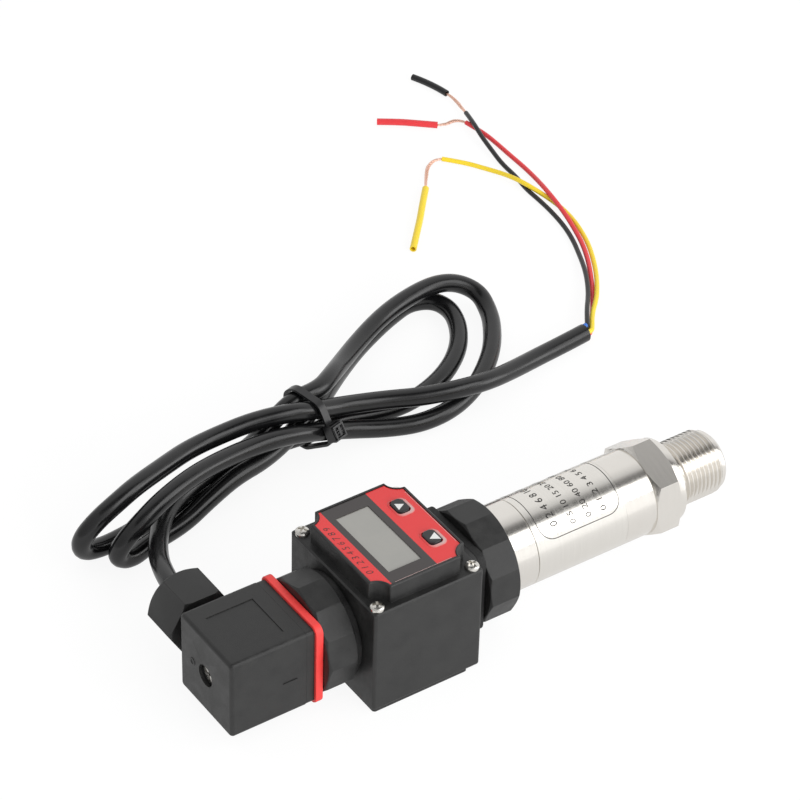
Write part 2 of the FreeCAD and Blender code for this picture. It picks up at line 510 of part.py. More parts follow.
fix_x0 = recess_x - fix_head_h
fixing = rod(fix_x0, recess_x, fix_head_r).fuse(rod(recess_x, fix_end_x, fix_r))
for hy, hz in ((0.7 * fix_head_r, fix_slot / 2), (fix_slot / 2, 0.7 * fix_head_r)):
    fixing = fixing.cut(box(fix_x0, fix_x0 + 0.4 * fix_head_h, -hy, hy, axis_z - hz, axis_z + hz))
nodes["plug_fastening_screw"] = fixing

# gland: a domed hexagon nut that presses the seal round the cable
nut_r = nut_af / math.sqrt(3)
dome = gland_turned([(nut_y0, 0), (nut_y0, nut_r - 0.9), (nut_y0 + 0.6, nut_r), (nut_y1 - 3.0, nut_r),
                     (nut_y1 - 1.6, nut_r - 1.4), (nut_y1 - 0.6, nut_r - 2.9), (nut_y1, nut_r - 4.6),
                     (nut_y1, 0)])
corners = [math.radians(60 * i) for i in range(7)]
hexagon = [Vector(gland_x + nut_r * math.cos(a), nut_y0, axis_z + nut_r * math.sin(a)) for a in corners]
nut = Part.Face(Part.makePolygon(hexagon)).extrude(across * (nut_y1 - nut_y0)).common(dome)
nut = nut.cut(gland_rod(nut_y0, nut_y1 - nut_wall, spigot_r + running))
nodes["gland_nut"] = nut.cut(gland_rod(nut_y0, nut_y1, nut_bore_r))
nodes["gland_seal"] = gland_rod(seal_y0, seal_y1, gland_bore_r).cut(gland_rod(seal_y0, seal_y1, cable_r))
washer = gland_rod(seal_y1, seal_y1 + washer_t, gland_bore_r - 0.1)
nodes["gland_washer"] = washer.cut(gland_rod(seal_y1, seal_y1 + washer_t, nut_bore_r - 0.6))

# cable and tie
cord("cable_jacket", cable_route, cable_r)
face = Vector(*cable_route[-1])
heading = (face - Vector(*cable_route[-2])).normalize()
beside = Vector(-heading.y, heading.x, 0)


def exit_points(colour):
    side, up = core_exits[colour]
    first = face + beside * side + Vector(0, 0, up)
    return [first, first + heading * core_lead]


for colour, route, strand, sleeve in (("black", black_route, black_strand, black_sleeve),
                                      ("red", red_route, red_strand, red_sleeve),
                                      ("yellow", yellow_route, yellow_strand, yellow_sleeve)):
    cord(colour + "_core", exit_points(colour) + route, core_r)
    cord(colour + "_copper", strand, strand_r)
    cord(colour + "_sleeve", sleeve, sleeve_r, sleeve_in)

stub = exit_points("blue")[0]
nodes["blue_core_stub"] = Part.makeCylinder(core_r, 1.4, stub, heading)

outline = Part.makePolygon([Vector(-tie_w / 2, y, z) for y, z in tie_hull + [tie_hull[0]]])
inside = Part.Face(outline.makeOffset2D(cable_r + tie_gap))
outside = Part.Face(outline.makeOffset2D(cable_r + tie_gap + tie_t))
tie = outside.extrude(along * tie_w).cut(inside.extrude(along * tie_w))
(y0, z0), (y1, z1) = tie_hull[:2]
lock_near = -cable_r - tie_gap - 0.05
lock = box(-tie_head_w / 2, tie_head_w / 2, lock_near - tie_head_t, lock_near, tie_head_at,
           tie_head_at + tie_head_l)
slot_y = lock_near - tie_head_t / 2 - tie_slot_t
lock = lock.cut(box(-tie_slot_w / 2, tie_slot_w / 2, slot_y, slot_y + tie_slot_t, tie_head_at,
                    tie_head_at + tie_head_l))
lock.rotate(Vector(0, 0, 0), along, -math.degrees(math.atan2(y1 - y0, z1 - z0)))
lock.translate(Vector(0, (y0 + y1) / 2, (z0 + z1) / 2))
tie = tie.fuse(lock)
tie.rotate(Vector(0, 0, 0), Vector(0, 0, 1), tie_turn)
tie.translate(Vector(tie_x, tie_y, 0))
nodes["cable_tie"] = tie

os.makedirs("parts", exist_ok=True)
for name, shape in nodes.items():
    if shape.ShapeType != "Compound" and not shape.isValid():
        print("not valid:", name)
    shape.exportStep("parts/%s.step" % name)
    b = shape.BoundBox
    print("%-24s %7.1f..%6.1f %7.1f..%6.1f %6.1f..%5.1f  solids %d" % (
        name, b.XMin, b.XMax, b.YMin, b.YMax, b.ZMin, b.ZMax, len(shape.Solids)))
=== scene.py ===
import math

import bmesh
import bpy
from mathutils import Matrix, Vector


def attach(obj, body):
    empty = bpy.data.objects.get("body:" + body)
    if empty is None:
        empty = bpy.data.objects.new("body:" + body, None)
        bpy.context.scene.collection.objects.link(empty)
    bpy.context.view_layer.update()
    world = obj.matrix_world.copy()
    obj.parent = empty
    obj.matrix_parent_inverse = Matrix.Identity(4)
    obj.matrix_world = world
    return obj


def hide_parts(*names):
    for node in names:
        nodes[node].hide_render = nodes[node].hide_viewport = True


# Pressure transmitter with display head, cable plug and cable. Metres; X runs to the thread, Z is up.

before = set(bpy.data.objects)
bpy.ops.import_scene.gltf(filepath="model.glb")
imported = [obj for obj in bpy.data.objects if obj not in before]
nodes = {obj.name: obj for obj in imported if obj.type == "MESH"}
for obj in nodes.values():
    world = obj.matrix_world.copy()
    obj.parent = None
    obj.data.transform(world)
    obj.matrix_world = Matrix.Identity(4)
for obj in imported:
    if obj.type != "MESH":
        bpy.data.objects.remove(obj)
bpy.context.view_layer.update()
axisHeight = 0.0184
fixed = "transmitter"
print("frame loaded:", len(nodes), "nodes")


def mm(values):
    return [v / 1000 for v in values]


def addCamera():
    view = {"turn": -35.12, "rise": 38.31, "roll": 1.6, "distance": 0.94367,
            "target": (0.00308, 0.0, 0.08801), "lens": 157.70, "film": 36, "reach": 10}
    a, e, r = (math.radians(view[k]) for k in ("turn", "rise", "roll"))
    back = Vector((math.sin(a) * math.cos(e), -math.cos(a) * math.cos(e), math.sin(e)))
    right = Vector((math.cos(a), math.sin(a), 0))
    up = back.cross(right)
    side = right * math.cos(r) + up * math.sin(r)
    top = up * math.cos(r) - right * math.sin(r)
    data = bpy.data.cameras.new("camera")
    data.lens = view["lens"]
    data.sensor_width = view["film"]
    data.clip_end = view["reach"]
    camera = bpy.data.objects.new("camera", data)
    turned = Matrix((side, top, back)).transposed().to_4x4()
    camera.matrix_world = Matrix.Translation(Vector(view["target"]) + back * view["distance"]) @ turned
    bpy.context.collection.objects.link(camera)
    bpy.context.scene.camera = camera


def addLight(name, place, aim, size, power, mirrored=True):
    data = bpy.data.lights.new(name, "AREA")
    data.shape = "RECTANGLE"
    data.size, data.size_y = size
    data.energy = power
    lamp = bpy.data.objects.new(name, data)
    lamp.location = place
    lamp.rotation_euler = (Vector(aim) - Vector(place)).to_track_quat("-Z", "Y").to_euler()
    lamp.visible_glossy = mirrored
    bpy.context.collection.objects.link(lamp)


def addNode(tree, kind, **settings):
    node = tree.nodes.new("ShaderNode" + kind)
    for key, value in settings.items():
        if hasattr(node, key):
            setattr(node, key, value)
        else:
            node.inputs[key].default_value = value
    return node


def rayShare(tree, shares):
    path = addNode(tree, "LightPath")
    last = None
    for kind, share in shares.items():
        part = addNode(tree, "Math", operation="MULTIPLY")
        part.inputs[1].default_value = share
        tree.links.new(path.outputs[kind], part.inputs[0])
        if last:
            most = addNode(tree, "Math", operation="MAXIMUM")
            tree.links.new(last, most.inputs[0])
            tree.links.new(part.outputs[0], most.inputs[1])
            part = most
        last = part.outputs[0]
    return last


def stageQuad(name, corners, material):
    mesh = bpy.data.meshes.new(name)
    mesh.from_pydata(corners, [], [(0, 1, 2, 3)])
    mesh.materials.append(material)
    quad = bpy.data.objects.new(name, mesh)
    bpy.context.collection.objects.link(quad)
    return quad


def emptyTree(owner):
    owner.use_nodes = True
    owner.node_tree.nodes.clear()
    return owner.node_tree


def setSpan(node, span):
    for socket, value in zip(("From Min", "From Max", "To Min", "To Max"), span):
        node.inputs[socket].default_value = value


def whenMirrored(tree, plain, level):
    # one strength for most rays, another for the reflections
    path = addNode(tree, "LightPath")
    mix = addNode(tree, "Mix", A=plain)
    tree.links.new(path.outputs["Is Glossy Ray"], mix.inputs["Factor"])
    tree.links.new(level, mix.inputs["B"])
    return mix.outputs["Result"]


def shownTo(tree, seen, plain, shown, ending):
    mix = addNode(tree, "MixShader")
    out = addNode(tree, ending)
    tree.links.new(rayShare(tree, seen), mix.inputs["Fac"])
    tree.links.new(plain.outputs[0], mix.inputs[1])
    tree.links.new(shown.outputs[0], mix.inputs[2])
    tree.links.new(mix.outputs[0], out.inputs["Surface"])


def addWorld():
    sky = {"diffuse": 0.67, "shade": (-0.9, 0.3, 0.50, 0.95),
           "seen": {"Is Camera Ray": 1.0, "Is Glossy Ray": 1.0, "Is Transmission Ray": 1.0}}
    world = bpy.data.worlds.new("studio")
    bpy.context.scene.world = world
    tree = emptyTree(world)
    shown = addNode(tree, "Background", Color=(1, 1, 1, 1))
    lit = addNode(tree, "Background", Color=(1, 1, 1, 1), Strength=sky["diffuse"])
    heading = addNode(tree, "TexCoord")
    parts = addNode(tree, "SeparateXYZ")
    shade = addNode(tree, "MapRange")
    setSpan(shade, sky["shade"])
    tree.links.new(heading.outputs["Generated"], parts.inputs[0])
    tree.links.new(parts.outputs["X"], shade.inputs["Value"])
    tree.links.new(whenMirrored(tree, 1.0, shade.outputs[0]), shown.inputs["Strength"])
    shownTo(tree, sky["seen"], lit, shown, "OutputWorld")


def addFloor():
    ground = {"half": 1.5, "drop": 0.0002, "colour": (0.9, 0.9, 0.9, 1), "glow": 1.05,
              "mirrored": (0.05, 0.60, 0.88, 1.32),
              "seen": {"Is Camera Ray": 0.86, "Is Glossy Ray": 0.6, "Is Transmission Ray": 0.86}}
    paper = bpy.data.materials.new("paper")
    tree = emptyTree(paper)
    diffuse = addNode(tree, "BsdfDiffuse", Color=ground["colour"])
    glow = addNode(tree, "Emission")
    # in reflections the floor glows less near the device and more far off: painted shade for the device's shadow
    spot = addNode(tree, "TexCoord")
    far = addNode(tree, "VectorMath", operation="LENGTH")
    reach = addNode(tree, "MapRange")
    setSpan(reach, ground["mirrored"])
    tree.links.new(spot.outputs["Object"], far.inputs[0])
    tree.links.new(far.outputs["Value"], reach.inputs["Value"])
    tree.links.new(whenMirrored(tree, ground["glow"], reach.outputs[0]), glow.inputs["Strength"])
    shownTo(tree, ground["seen"], diffuse, glow, "OutputMaterial")
    half = ground["half"]
    floor = stageQuad("floor", [(-half, -half, 0), (half, -half, 0), (half, half, 0), (-half, half, 0)], paper)
    floor.location.z = -ground["drop"]


def addCard(name, place, corners):
    # a glowing card that only reflections see
    material = bpy.data.materials.new(name)
    tree = emptyTree(material)
    shine = addNode(tree, "Emission")
    out = addNode(tree, "OutputMaterial")
    tree.links.new(shine.outputs[0], out.inputs["Surface"])
    card = stageQuad(name, corners, material)
    card.location = place
    card.visible_camera = card.visible_diffuse = card.visible_shadow = card.visible_transmission = False
    return tree, shine


def addOverheadCard():
    # dark towards the key lamp, pale towards the back
    card = {"place": (0.5, -0.08, 1), "x": (-1.0, 0.75), "y": (-0.40, 0.60), "slant": 0.35,
            "shades": ((-0.40, 0.08), (-0.12, 0.12), (0.02, 0.22), (0.16, 0.70), (0.60, 0.95))}
    (x0, x1), (y0, y1) = card["x"], card["y"]
    tree, shine = addCard("card", card["place"], [(x0, y0, 0), (x1, y0, 0), (x1, y1, 0), (x0, y1, 0)])
    where = addNode(tree, "TexCoord")
    split = addNode(tree, "SeparateXYZ")
    slant = addNode(tree, "Math", operation="MULTIPLY_ADD")
    slant.inputs[1].default_value = card["slant"]
    span = addNode(tree, "MapRange")
    low, high = card["shades"][0][0], card["shades"][-1][0]
    setSpan(span, (low, high))
    shades = addNode(tree, "ValToRGB")
    ramp = shades.color_ramp
    for place, level in card["shades"][1:-1]:
        ramp.elements.new((place - low) / (high - low))
    for element, (place, level) in zip(ramp.elements, card["shades"]):
        element.color = (level, level, level, 1)
    tree.links.new(where.outputs["Object"], split.inputs[0])
    tree.links.new(split.outputs["X"], slant.inputs[0])
    tree.links.new(split.outputs["Y"], slant.inputs[2])
    tree.links.new(slant.outputs[0], span.inputs["Value"])
    tree.links.new(span.outputs[0], shades.inputs["Fac"])
    tree.links.new(shades.outputs["Color"], shine.inputs["Color"])


def addLamps():
    lamps = {"keyLight": {"place": (0.60, -0.74, 0.79), "size": (0.9, 0.6), "power": 3.2},
             "fillLight": {"place": (0.12, -1.25, 0.48), "size": (0.8, 0.5), "power": 9.0, "mirrored": False}}
    for name, lamp in lamps.items():
        addLight(name, aim=(0.02, 0.03, 0.02), **lamp)
    cards = {"frontCard": {"level": 1.25, "place": (0, -1.35, 0.01), "from": (-0.6, 0), "to": (1.4, 0), "tall": 0.55},
             "sideCard": {"level": 3.4, "place": (1.6, -1.1, 0.01), "from": (-0.3, -0.43), "to": (0.3, 0.43),
                          "tall": 0.8}}
    for name, card in cards.items():
        low, high, tall = card["from"], card["to"], card["tall"]
        corners = [(*low, 0), (*high, 0), (*high, tall), (*low, tall)]
        addCard(name, card["place"], corners)[1].inputs["Strength"].default_value = card["level"]


addCamera()
addWorld()
addFloor()
addOverheadCard()
addLamps()
bpy.context.scene.view_settings.view_transform = "Standard"
print("camera and studio ready")


# Surface finishes.

def newMaterial(name, colour, roughness, metallic=0.0, coat=0.0):
    material = bpy.data.materials.new(name)
    material.use_nodes = True
    shader = material.node_tree.nodes["Principled BSDF"]
    shader.inputs["Base Color"].default_value = (*colour, 1)
    shader.inputs["Roughness"].default_value = roughness
    shader.inputs["Metallic"].default_value = metallic
    shader.inputs["Coat Weight"].default_value = coat
    return material


def addGrain(material, scale, strength, distance, stretch=(1, 1, 1), roughSpan=None, shades=None, blotch=None):
    grain = {"detail": 3.0, "soft": 0.6, "wideDetail": 5.0, "wideSoft": 0.65, "from": 0.3, "to": 0.7,
             "dark": 0.35, "pale": 0.68}
    tree = material.node_tree
    shader = tree.nodes["Principled BSDF"]
    where = addNode(tree, "TexCoord")
    mapping = addNode(tree, "Mapping", Scale=stretch)
    noise = addNode(tree, "TexNoise", Scale=scale, Detail=grain["detail"], Roughness=grain["soft"])
    tree.links.new(where.outputs["Object"], mapping.inputs["Vector"])
    tree.links.new(mapping.outputs[0], noise.inputs["Vector"])
    bump = addNode(tree, "Bump", Strength=strength, Distance=distance)
    tree.links.new(noise.outputs["Fac"], bump.inputs["Height"])
    tree.links.new(bump.outputs[0], shader.inputs["Normal"])
    wide = noise
    if blotch:
        wide = addNode(tree, "TexNoise", Scale=blotch, Detail=grain["wideDetail"],
                       Roughness=grain["wideSoft"])
        tree.links.new(where.outputs["Object"], wide.inputs["Vector"])
    if roughSpan:
        span = addNode(tree, "MapRange")
        setSpan(span, (grain["from"], grain["to"], *roughSpan))
        tree.links.new(wide.outputs["Fac"], span.inputs["Value"])
        tree.links.new(span.outputs[0], shader.inputs["Roughness"])
    if shades:
        ramp = addNode(tree, "ValToRGB")
        for element, place, shade in zip(ramp.color_ramp.elements, (grain["dark"], grain["pale"]), shades):
            element.position = place
            element.color = (*shade, 1)
        tree.links.new(wide.outputs["Fac"], ramp.inputs["Fac"])
        tree.links.new(ramp.outputs[0], shader.inputs["Base Color"])
    return material


nylon = addGrain(newMaterial("mouldedNylon", (0.018, 0.018, 0.018), 0.46), 3400, 0.6, 0.00007,
                 roughSpan=(0.36, 0.56), shades=((0.011, 0.011, 0.011), (0.024, 0.024, 0.0235)), blotch=170)
rubberBlack = addGrain(newMaterial("sealRubber", (0.012, 0.012, 0.012), 0.7), 1800, 0.2, 0.0001,
                       roughSpan=(0.6, 0.8))
rubberRed = addGrain(newMaterial("redSilicone", (0.88, 0.05, 0.045), 0.42), 2400, 0.15, 0.00008,
                     roughSpan=(0.36, 0.5), shades=((0.85, 0.046, 0.042), (0.91, 0.056, 0.05)), blotch=260)
turnedSteel = addGrain(newMaterial("turnedSteel", (0.78, 0.75, 0.705), 0.2, 1.0), 5200, 0.10, 0.00002,
                       stretch=(1, 0.012, 0.012), roughSpan=(0.15, 0.24),
                       shades=((0.76, 0.73, 0.685), (0.80, 0.77, 0.725)))
satinSteel = addGrain(newMaterial("satinSteel", (0.79, 0.765, 0.72), 0.24, 1.0), 4200, 0.08, 0.00002,
                      stretch=(1, 0.012, 0.012), roughSpan=(0.19, 0.27),
                      shades=((0.77, 0.745, 0.70), (0.81, 0.785, 0.74)))
screwSteel = addGrain(newMaterial("screwSteel", (0.70, 0.68, 0.64), 0.22, 1.0), 2500, 0.08, 0.00003,
                      roughSpan=(0.16, 0.3), blotch=900)
contactBrass = addGrain(newMaterial("contactBrass", (0.75, 0.62, 0.36), 0.25, 1.0), 1500, 0.08, 0.0001)
boardGreen = addGrain(newMaterial("boardGreen", (0.02, 0.16, 0.06), 0.4), 900, 0.1, 0.0001)
cableBlack = addGrain(newMaterial("cableJacket", (0.006, 0.006, 0.007), 0.2), 2600, 0.12, 0.00005,
                      roughSpan=(0.16, 0.27), shades=((0.0045, 0.0045, 0.005), (0.0085, 0.0085, 0.009)), blotch=180)
coreBlack = addGrain(newMaterial("blackInsulation", (0.008, 0.008, 0.009), 0.28), 2600, 0.06, 0.00005)
coreRed = addGrain(newMaterial("redInsulation", (0.84, 0.045, 0.055), 0.32), 2600, 0.06, 0.00005)
coreYellow = addGrain(newMaterial("yellowInsulation", (1.0, 0.74, 0.03), 0.32), 2600, 0.06, 0.00005)
coreBlue = addGrain(newMaterial("blueInsulation", (0.03, 0.16, 0.6), 0.35), 2600, 0.06, 0.00005)
copper = addGrain(newMaterial("copperStrands", (0.93, 0.62, 0.50), 0.34, 1.0), 3000, 0.08, 0.00003)
keyBlack = addGrain(newMaterial("keyPlastic", (0.02, 0.02, 0.022), 0.3), 2000, 0.08, 0.00005)
# pale colour for the painted highlight on the film's edges
edgeHighlight = addGrain(newMaterial("edgeHighlight", (0.72, 0.50, 0.48), 0.2, coat=0.4), 900, 0.04, 0.00005)
# the glass's broad soft paler and darker patches are a painted reflection
displayGlass = addGrain(newMaterial("displayGlass", (0.38, 0.37, 0.345), 0.2, coat=0.2), 60, 0.0, 0.0001,
                        shades=((0.35, 0.345, 0.322), (0.39, 0.38, 0.352)), blotch=30)
tieNylon = addGrain(newMaterial("tieNylon", (0.012, 0.012, 0.013), 0.32), 1800, 0.08, 0.00005)
whiteInk = addGrain(newMaterial("whiteInk", (0.85, 0.85, 0.84), 0.4), 900, 0.02, 0.00002)
darkInk = addGrain(newMaterial("darkInk", (0.07, 0.016, 0.016), 0.4), 900, 0.02, 0.00002)
etchedMark = addGrain(newMaterial("etchedMark", (0.026, 0.024, 0.022), 0.7), 4000, 0.05, 0.00002)


def filmMaterial():
    # red film with a dark band behind the window
    art = {"half": 0.02, "bandFrom": -0.0106, "bandTo": 0.00457, "red": (0.79, 0.034, 0.036, 1),
           "dark": (0.040, 0.033, 0.032, 1)}
    half = art["half"]
    film = newMaterial("overlayFilm", (0.74, 0.03, 0.033), 0.26, coat=0.15)
    tree = film.node_tree
    where = addNode(tree, "TexCoord")
    split = addNode(tree, "SeparateXYZ")
    scale = addNode(tree, "MapRange")
    setSpan(scale, (-half, half))
    ramp = addNode(tree, "ValToRGB")
    bands = ramp.color_ramp
    bands.interpolation = "CONSTANT"
    bands.elements[0].color = art["red"]
    bands.elements[1].position = (half + art["bandFrom"]) / (2 * half)
    bands.elements[1].color = art["dark"]
    last = bands.elements.new((half + art["bandTo"]) / (2 * half))
    last.color = art["red"]
    tree.links.new(where.outputs["Object"], split.inputs[0])
    tree.links.new(split.outputs["X"], scale.inputs["Value"])
    tree.links.new(scale.outputs[0], ramp.inputs["Fac"])
    tree.links.new(ramp.outputs[0], tree.nodes["Principled BSDF"].inputs["Base Color"])
    return film


overlayFilm = filmMaterial()
finishes = (
    (turnedSteel, "sensor_capsule sensor_retaining_ring"), (rubberBlack, "sensor_seal gland_seal"),
    (boardGreen, "signal_board display_board"), (keyBlack, "button_switches"), (coreBlue, "blue_core_stub"),
    (contactBrass, "transmitter_pins head_socket_contacts display_pins plug_contacts"),
    (nylon, "head_socket_insert display_base_nut plug_insert gland_washer"),
    (screwSteel, "head_fixing_screw terminal_screws"))
for finish, names in finishes:
    for name in names.split():
        for place in nodes[name].material_slots:
            place.material = finish
print("materials ready")


# Hard pieces: each takes its form from the solid, merged and with softened edges.

def merged(name):
    weld = {"distance": 1e-6, "angle": 0.4}
    shape = bmesh.new()
    shape.from_mesh(nodes[name].data)
    shape.transform(nodes[name].matrix_world)
    bmesh.ops.remove_doubles(shape, verts=shape.verts, dist=weld["distance"])
    bmesh.ops.dissolve_limit(shape, angle_limit=math.radians(weld["angle"]), verts=shape.verts,
                             edges=shape.edges)
    bmesh.ops.recalc_face_normals(shape, faces=shape.faces)
    return shape


def addPiece(name, shape, material, body, node=None, edge=0.0, smooth=30.0):
    mesh = bpy.data.meshes.new(name)
    if isinstance(shape, bmesh.types.BMesh):
        shape.to_mesh(mesh)
        shape.free()
    else:
        mesh = shape
        mesh.name = name
    mesh.materials.clear()
    mesh.materials.append(material)
    mesh.shade_smooth()
    mesh.set_sharp_from_angle(angle=math.radians(smooth))
    piece = bpy.data.objects.new(name, mesh)
    bpy.context.collection.objects.link(piece)
    if edge:
        bevel = {"segments": 2, "angle": 25}
        soften = piece.modifiers.new("soften", "BEVEL")
        soften.width = edge
        soften.segments = bevel["segments"]
        soften.limit_method = "ANGLE"
        soften.angle_limit = math.radians(bevel["angle"])
        soften.harden_normals = True
    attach(piece, body)
    if node:
        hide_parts(node)
    return piece


hardPieces = {
    "display_housing": (fixed, nylon, 0.00025), "display_cover": (fixed, nylon, 0.00022),
    "transmitter_plug_base": (fixed, nylon, 0.0003), "display_plug_base": (fixed, nylon, 0.0003),
    "head_gasket": (fixed, rubberBlack, 0.0002), "transmitter_tube": (fixed, satinSteel, 0.00008),
    "tube_end_ring": (fixed, turnedSteel, 0.00008), "front_overlay": (fixed, overlayFilm, 0.00005),
    "lcd_module": (fixed, displayGlass, 0.00005), "plug_housing": ("plug", nylon, 0.0002),
    "plug_gasket": ("plug", rubberRed, 0.0003), "gland_nut": ("gland", nylon, 0.0003),
    "up_button": ("up_key", keyBlack, 0.0002), "down_button": ("down_key", keyBlack, 0.0002),
    "plug_fastening_screw": ("plug_screw", screwSteel, 0.0001), "cable_tie": ("plug", tieNylon, 0.00012)}


def roundedGap(y, z, half, corner):
    # distance from a rounded square round the device axis
    dy, dz = abs(y) - half + corner, abs(z - axisHeight) - half + corner
    return math.hypot(max(dy, 0), max(dz, 0)) + min(max(dy, dz), 0) - corner


def eased(name):
    # the plug's top panel is sunk and its groove made shallower; all other forms stay
    shape = merged(name)
    if name == "plug_housing":
        plug = {"half": 0.0133, "panelTop": 0.01345, "sink": 0.00024, "groove": 0.0129, "corner": 0.0015,
                "keep": 0.00013, "behind": -0.05, "near": 2e-5}
        grow = (plug["half"] - plug["keep"]) / plug["groove"]
        for v in shape.verts:
            if abs(v.co.z - axisHeight - plug["panelTop"]) < plug["near"]:
                v.co.z -= plug["panelTop"] - plug["half"] + plug["sink"]
            elif (v.co.x > plug["behind"]
                  and abs(roundedGap(v.co.y, v.co.z, plug["groove"], plug["corner"])) < plug["near"]):
                v.co.y *= grow
                v.co.z = axisHeight + (v.co.z - axisHeight) * grow
    return shape


for name, (body, finish, edge) in hardPieces.items():
    words = name.split("_")
    title = words[0] + "".join(w.capitalize() for w in words[1:])
    addPiece(title, eased(name), finish, body, name, edge)


# Node groups for what repeats; every group gives one plain mesh.

def newGroup(name, inputs):
    tree = bpy.data.node_groups.new(name, "GeometryNodeTree")
    for title, value in inputs.items():
        kind = "NodeSocketInt" if isinstance(value, int) else "NodeSocketFloat"
        tree.interface.new_socket(title, in_out="INPUT", socket_type=kind)
    tree.interface.new_socket("Finish", in_out="INPUT", socket_type="NodeSocketMaterial")
    tree.interface.new_socket("Geometry", in_out="OUTPUT", socket_type="NodeSocketGeometry")
    return tree, tree.nodes.new("NodeGroupInput")


def groupNode(tree, kind, values=(), **settings):
    node = tree.nodes.new(kind)
    for key, value in settings.items():
        setattr(node, key, value)
    for socket, value in values:
        if isinstance(value, bpy.types.NodeSocket):
            tree.links.new(value, node.inputs[socket])
        else:
            node.inputs[socket].default_value = value
    return node


def calc(tree, operation, a, b=0.0, c=0.0):
    node = groupNode(tree, "ShaderNodeMath", [(0, a), (1, b), (2, c)], operation=operation)
    return node.outputs[0]


def endGroup(tree, given, geometry):
    real = groupNode(tree, "GeometryNodeRealizeInstances", [("Geometry", geometry)])
    paint = groupNode(tree, "GeometryNodeSetMaterial",
                      [("Geometry", real.outputs[0]), ("Material", given.outputs["Finish"])])
    out = tree.nodes.new("NodeGroupOutput")
    tree.links.new(paint.outputs[0], out.inputs["Geometry"])


def grown(tree, inputs, finish):
    holder = bpy.data.objects.new("holder", bpy.data.meshes.new("holder"))
    bpy.context.collection.objects.link(holder)
    modifier = holder.modifiers.new("form", "NODES")
    modifier.node_group = tree
    for item in tree.interface.items_tree:
        if item.in_out == "INPUT":
            modifier[item.identifier] = finish if item.name == "Finish" else inputs[item.name]
    bpy.context.view_layer.update()
    ready = holder.evaluated_get(bpy.context.evaluated_depsgraph_get())
    mesh = bpy.data.meshes.new_from_object(ready)
    holder.modifiers.remove(modifier)
    bpy.data.objects.remove(holder)
    return mesh


thread = {"Start": 0.0991, "Length": 0.0143, "Pitch": 0.0015, "Crest": 0.010, "Root": 0.0091, "Fade": 0.0009}


def threadGroup():
    # the grid's rows follow the helix, so crests and roots stay clean
    tree, given = newGroup("threadForm", thread)
    asked = given.outputs
    mesh = {"perTurn": 16, "round": 97, "ahead": 40.0, "flatRoot": 0.13, "flatCrest": 0.85, "weld": 2e-6}
    perTurn = mesh["perTurn"]
    rows = perTurn * (math.ceil(thread["Length"] / thread["Pitch"]) + 2)
    reach = calc(tree, "MULTIPLY", asked["Pitch"], rows / perTurn)
    grid = groupNode(tree, "GeometryNodeMeshGrid",
                     [("Size X", reach), ("Size Y", 1.0), ("Vertices X", rows + 1),
                      ("Vertices Y", mesh["round"])])
    place = groupNode(tree, "ShaderNodeSeparateXYZ", [(0, tree.nodes.new("GeometryNodeInputPosition").outputs[0])])
    row, turn = place.outputs["X"], place.outputs["Y"]
    turns = calc(tree, "DIVIDE", row, asked["Pitch"])
    phase = calc(tree, "FRACT", calc(tree, "ADD", turns, mesh["ahead"]))
    slope = calc(tree, "MULTIPLY", calc(tree, "ABSOLUTE", calc(tree, "SUBTRACT", phase, 0.5)), 2.0)
    form = groupNode(tree, "ShaderNodeMapRange", [("Value", slope), ("From Min", mesh["flatRoot"]),
                                                     ("From Max", mesh["flatCrest"])])
    half = calc(tree, "MULTIPLY", asked["Length"], 0.5)
    shifted = calc(tree, "SUBTRACT", row, calc(tree, "MULTIPLY", turn, asked["Pitch"]))
    x = calc(tree, "MINIMUM", calc(tree, "MAXIMUM", shifted, calc(tree, "MULTIPLY", half, -1.0)), half)
    fadeIn = calc(tree, "DIVIDE", calc(tree, "ADD", x, half), asked["Fade"])
    fadeOut = calc(tree, "DIVIDE", calc(tree, "SUBTRACT", half, x), asked["Fade"])
    fade = calc(tree, "MINIMUM", calc(tree, "MINIMUM", fadeIn, fadeOut), 1.0)
    depth = calc(tree, "SUBTRACT", asked["Crest"], asked["Root"])
    radius = calc(tree, "MULTIPLY_ADD", calc(tree, "MINIMUM", form.outputs["Result"], fade), depth,
                  asked["Root"])
    angle = calc(tree, "MULTIPLY", turn, 2 * math.pi)
    along = calc(tree, "ADD", calc(tree, "ADD", x, half), asked["Start"])
    side = calc(tree, "MULTIPLY", radius, calc(tree, "SINE", angle))
    height = calc(tree, "MULTIPLY_ADD", radius, calc(tree, "COSINE", angle), axisHeight)
    spot = groupNode(tree, "ShaderNodeCombineXYZ", [("X", along), ("Y", side), ("Z", height)])
    moved = groupNode(tree, "GeometryNodeSetPosition",
                      [("Geometry", grid.outputs["Mesh"]), ("Position", spot.outputs[0])])
    joined = groupNode(tree, "GeometryNodeMergeByDistance",
                       [("Geometry", moved.outputs[0]), ("Distance", mesh["weld"])])
    endGroup(tree, given, joined.outputs[0])
    return tree


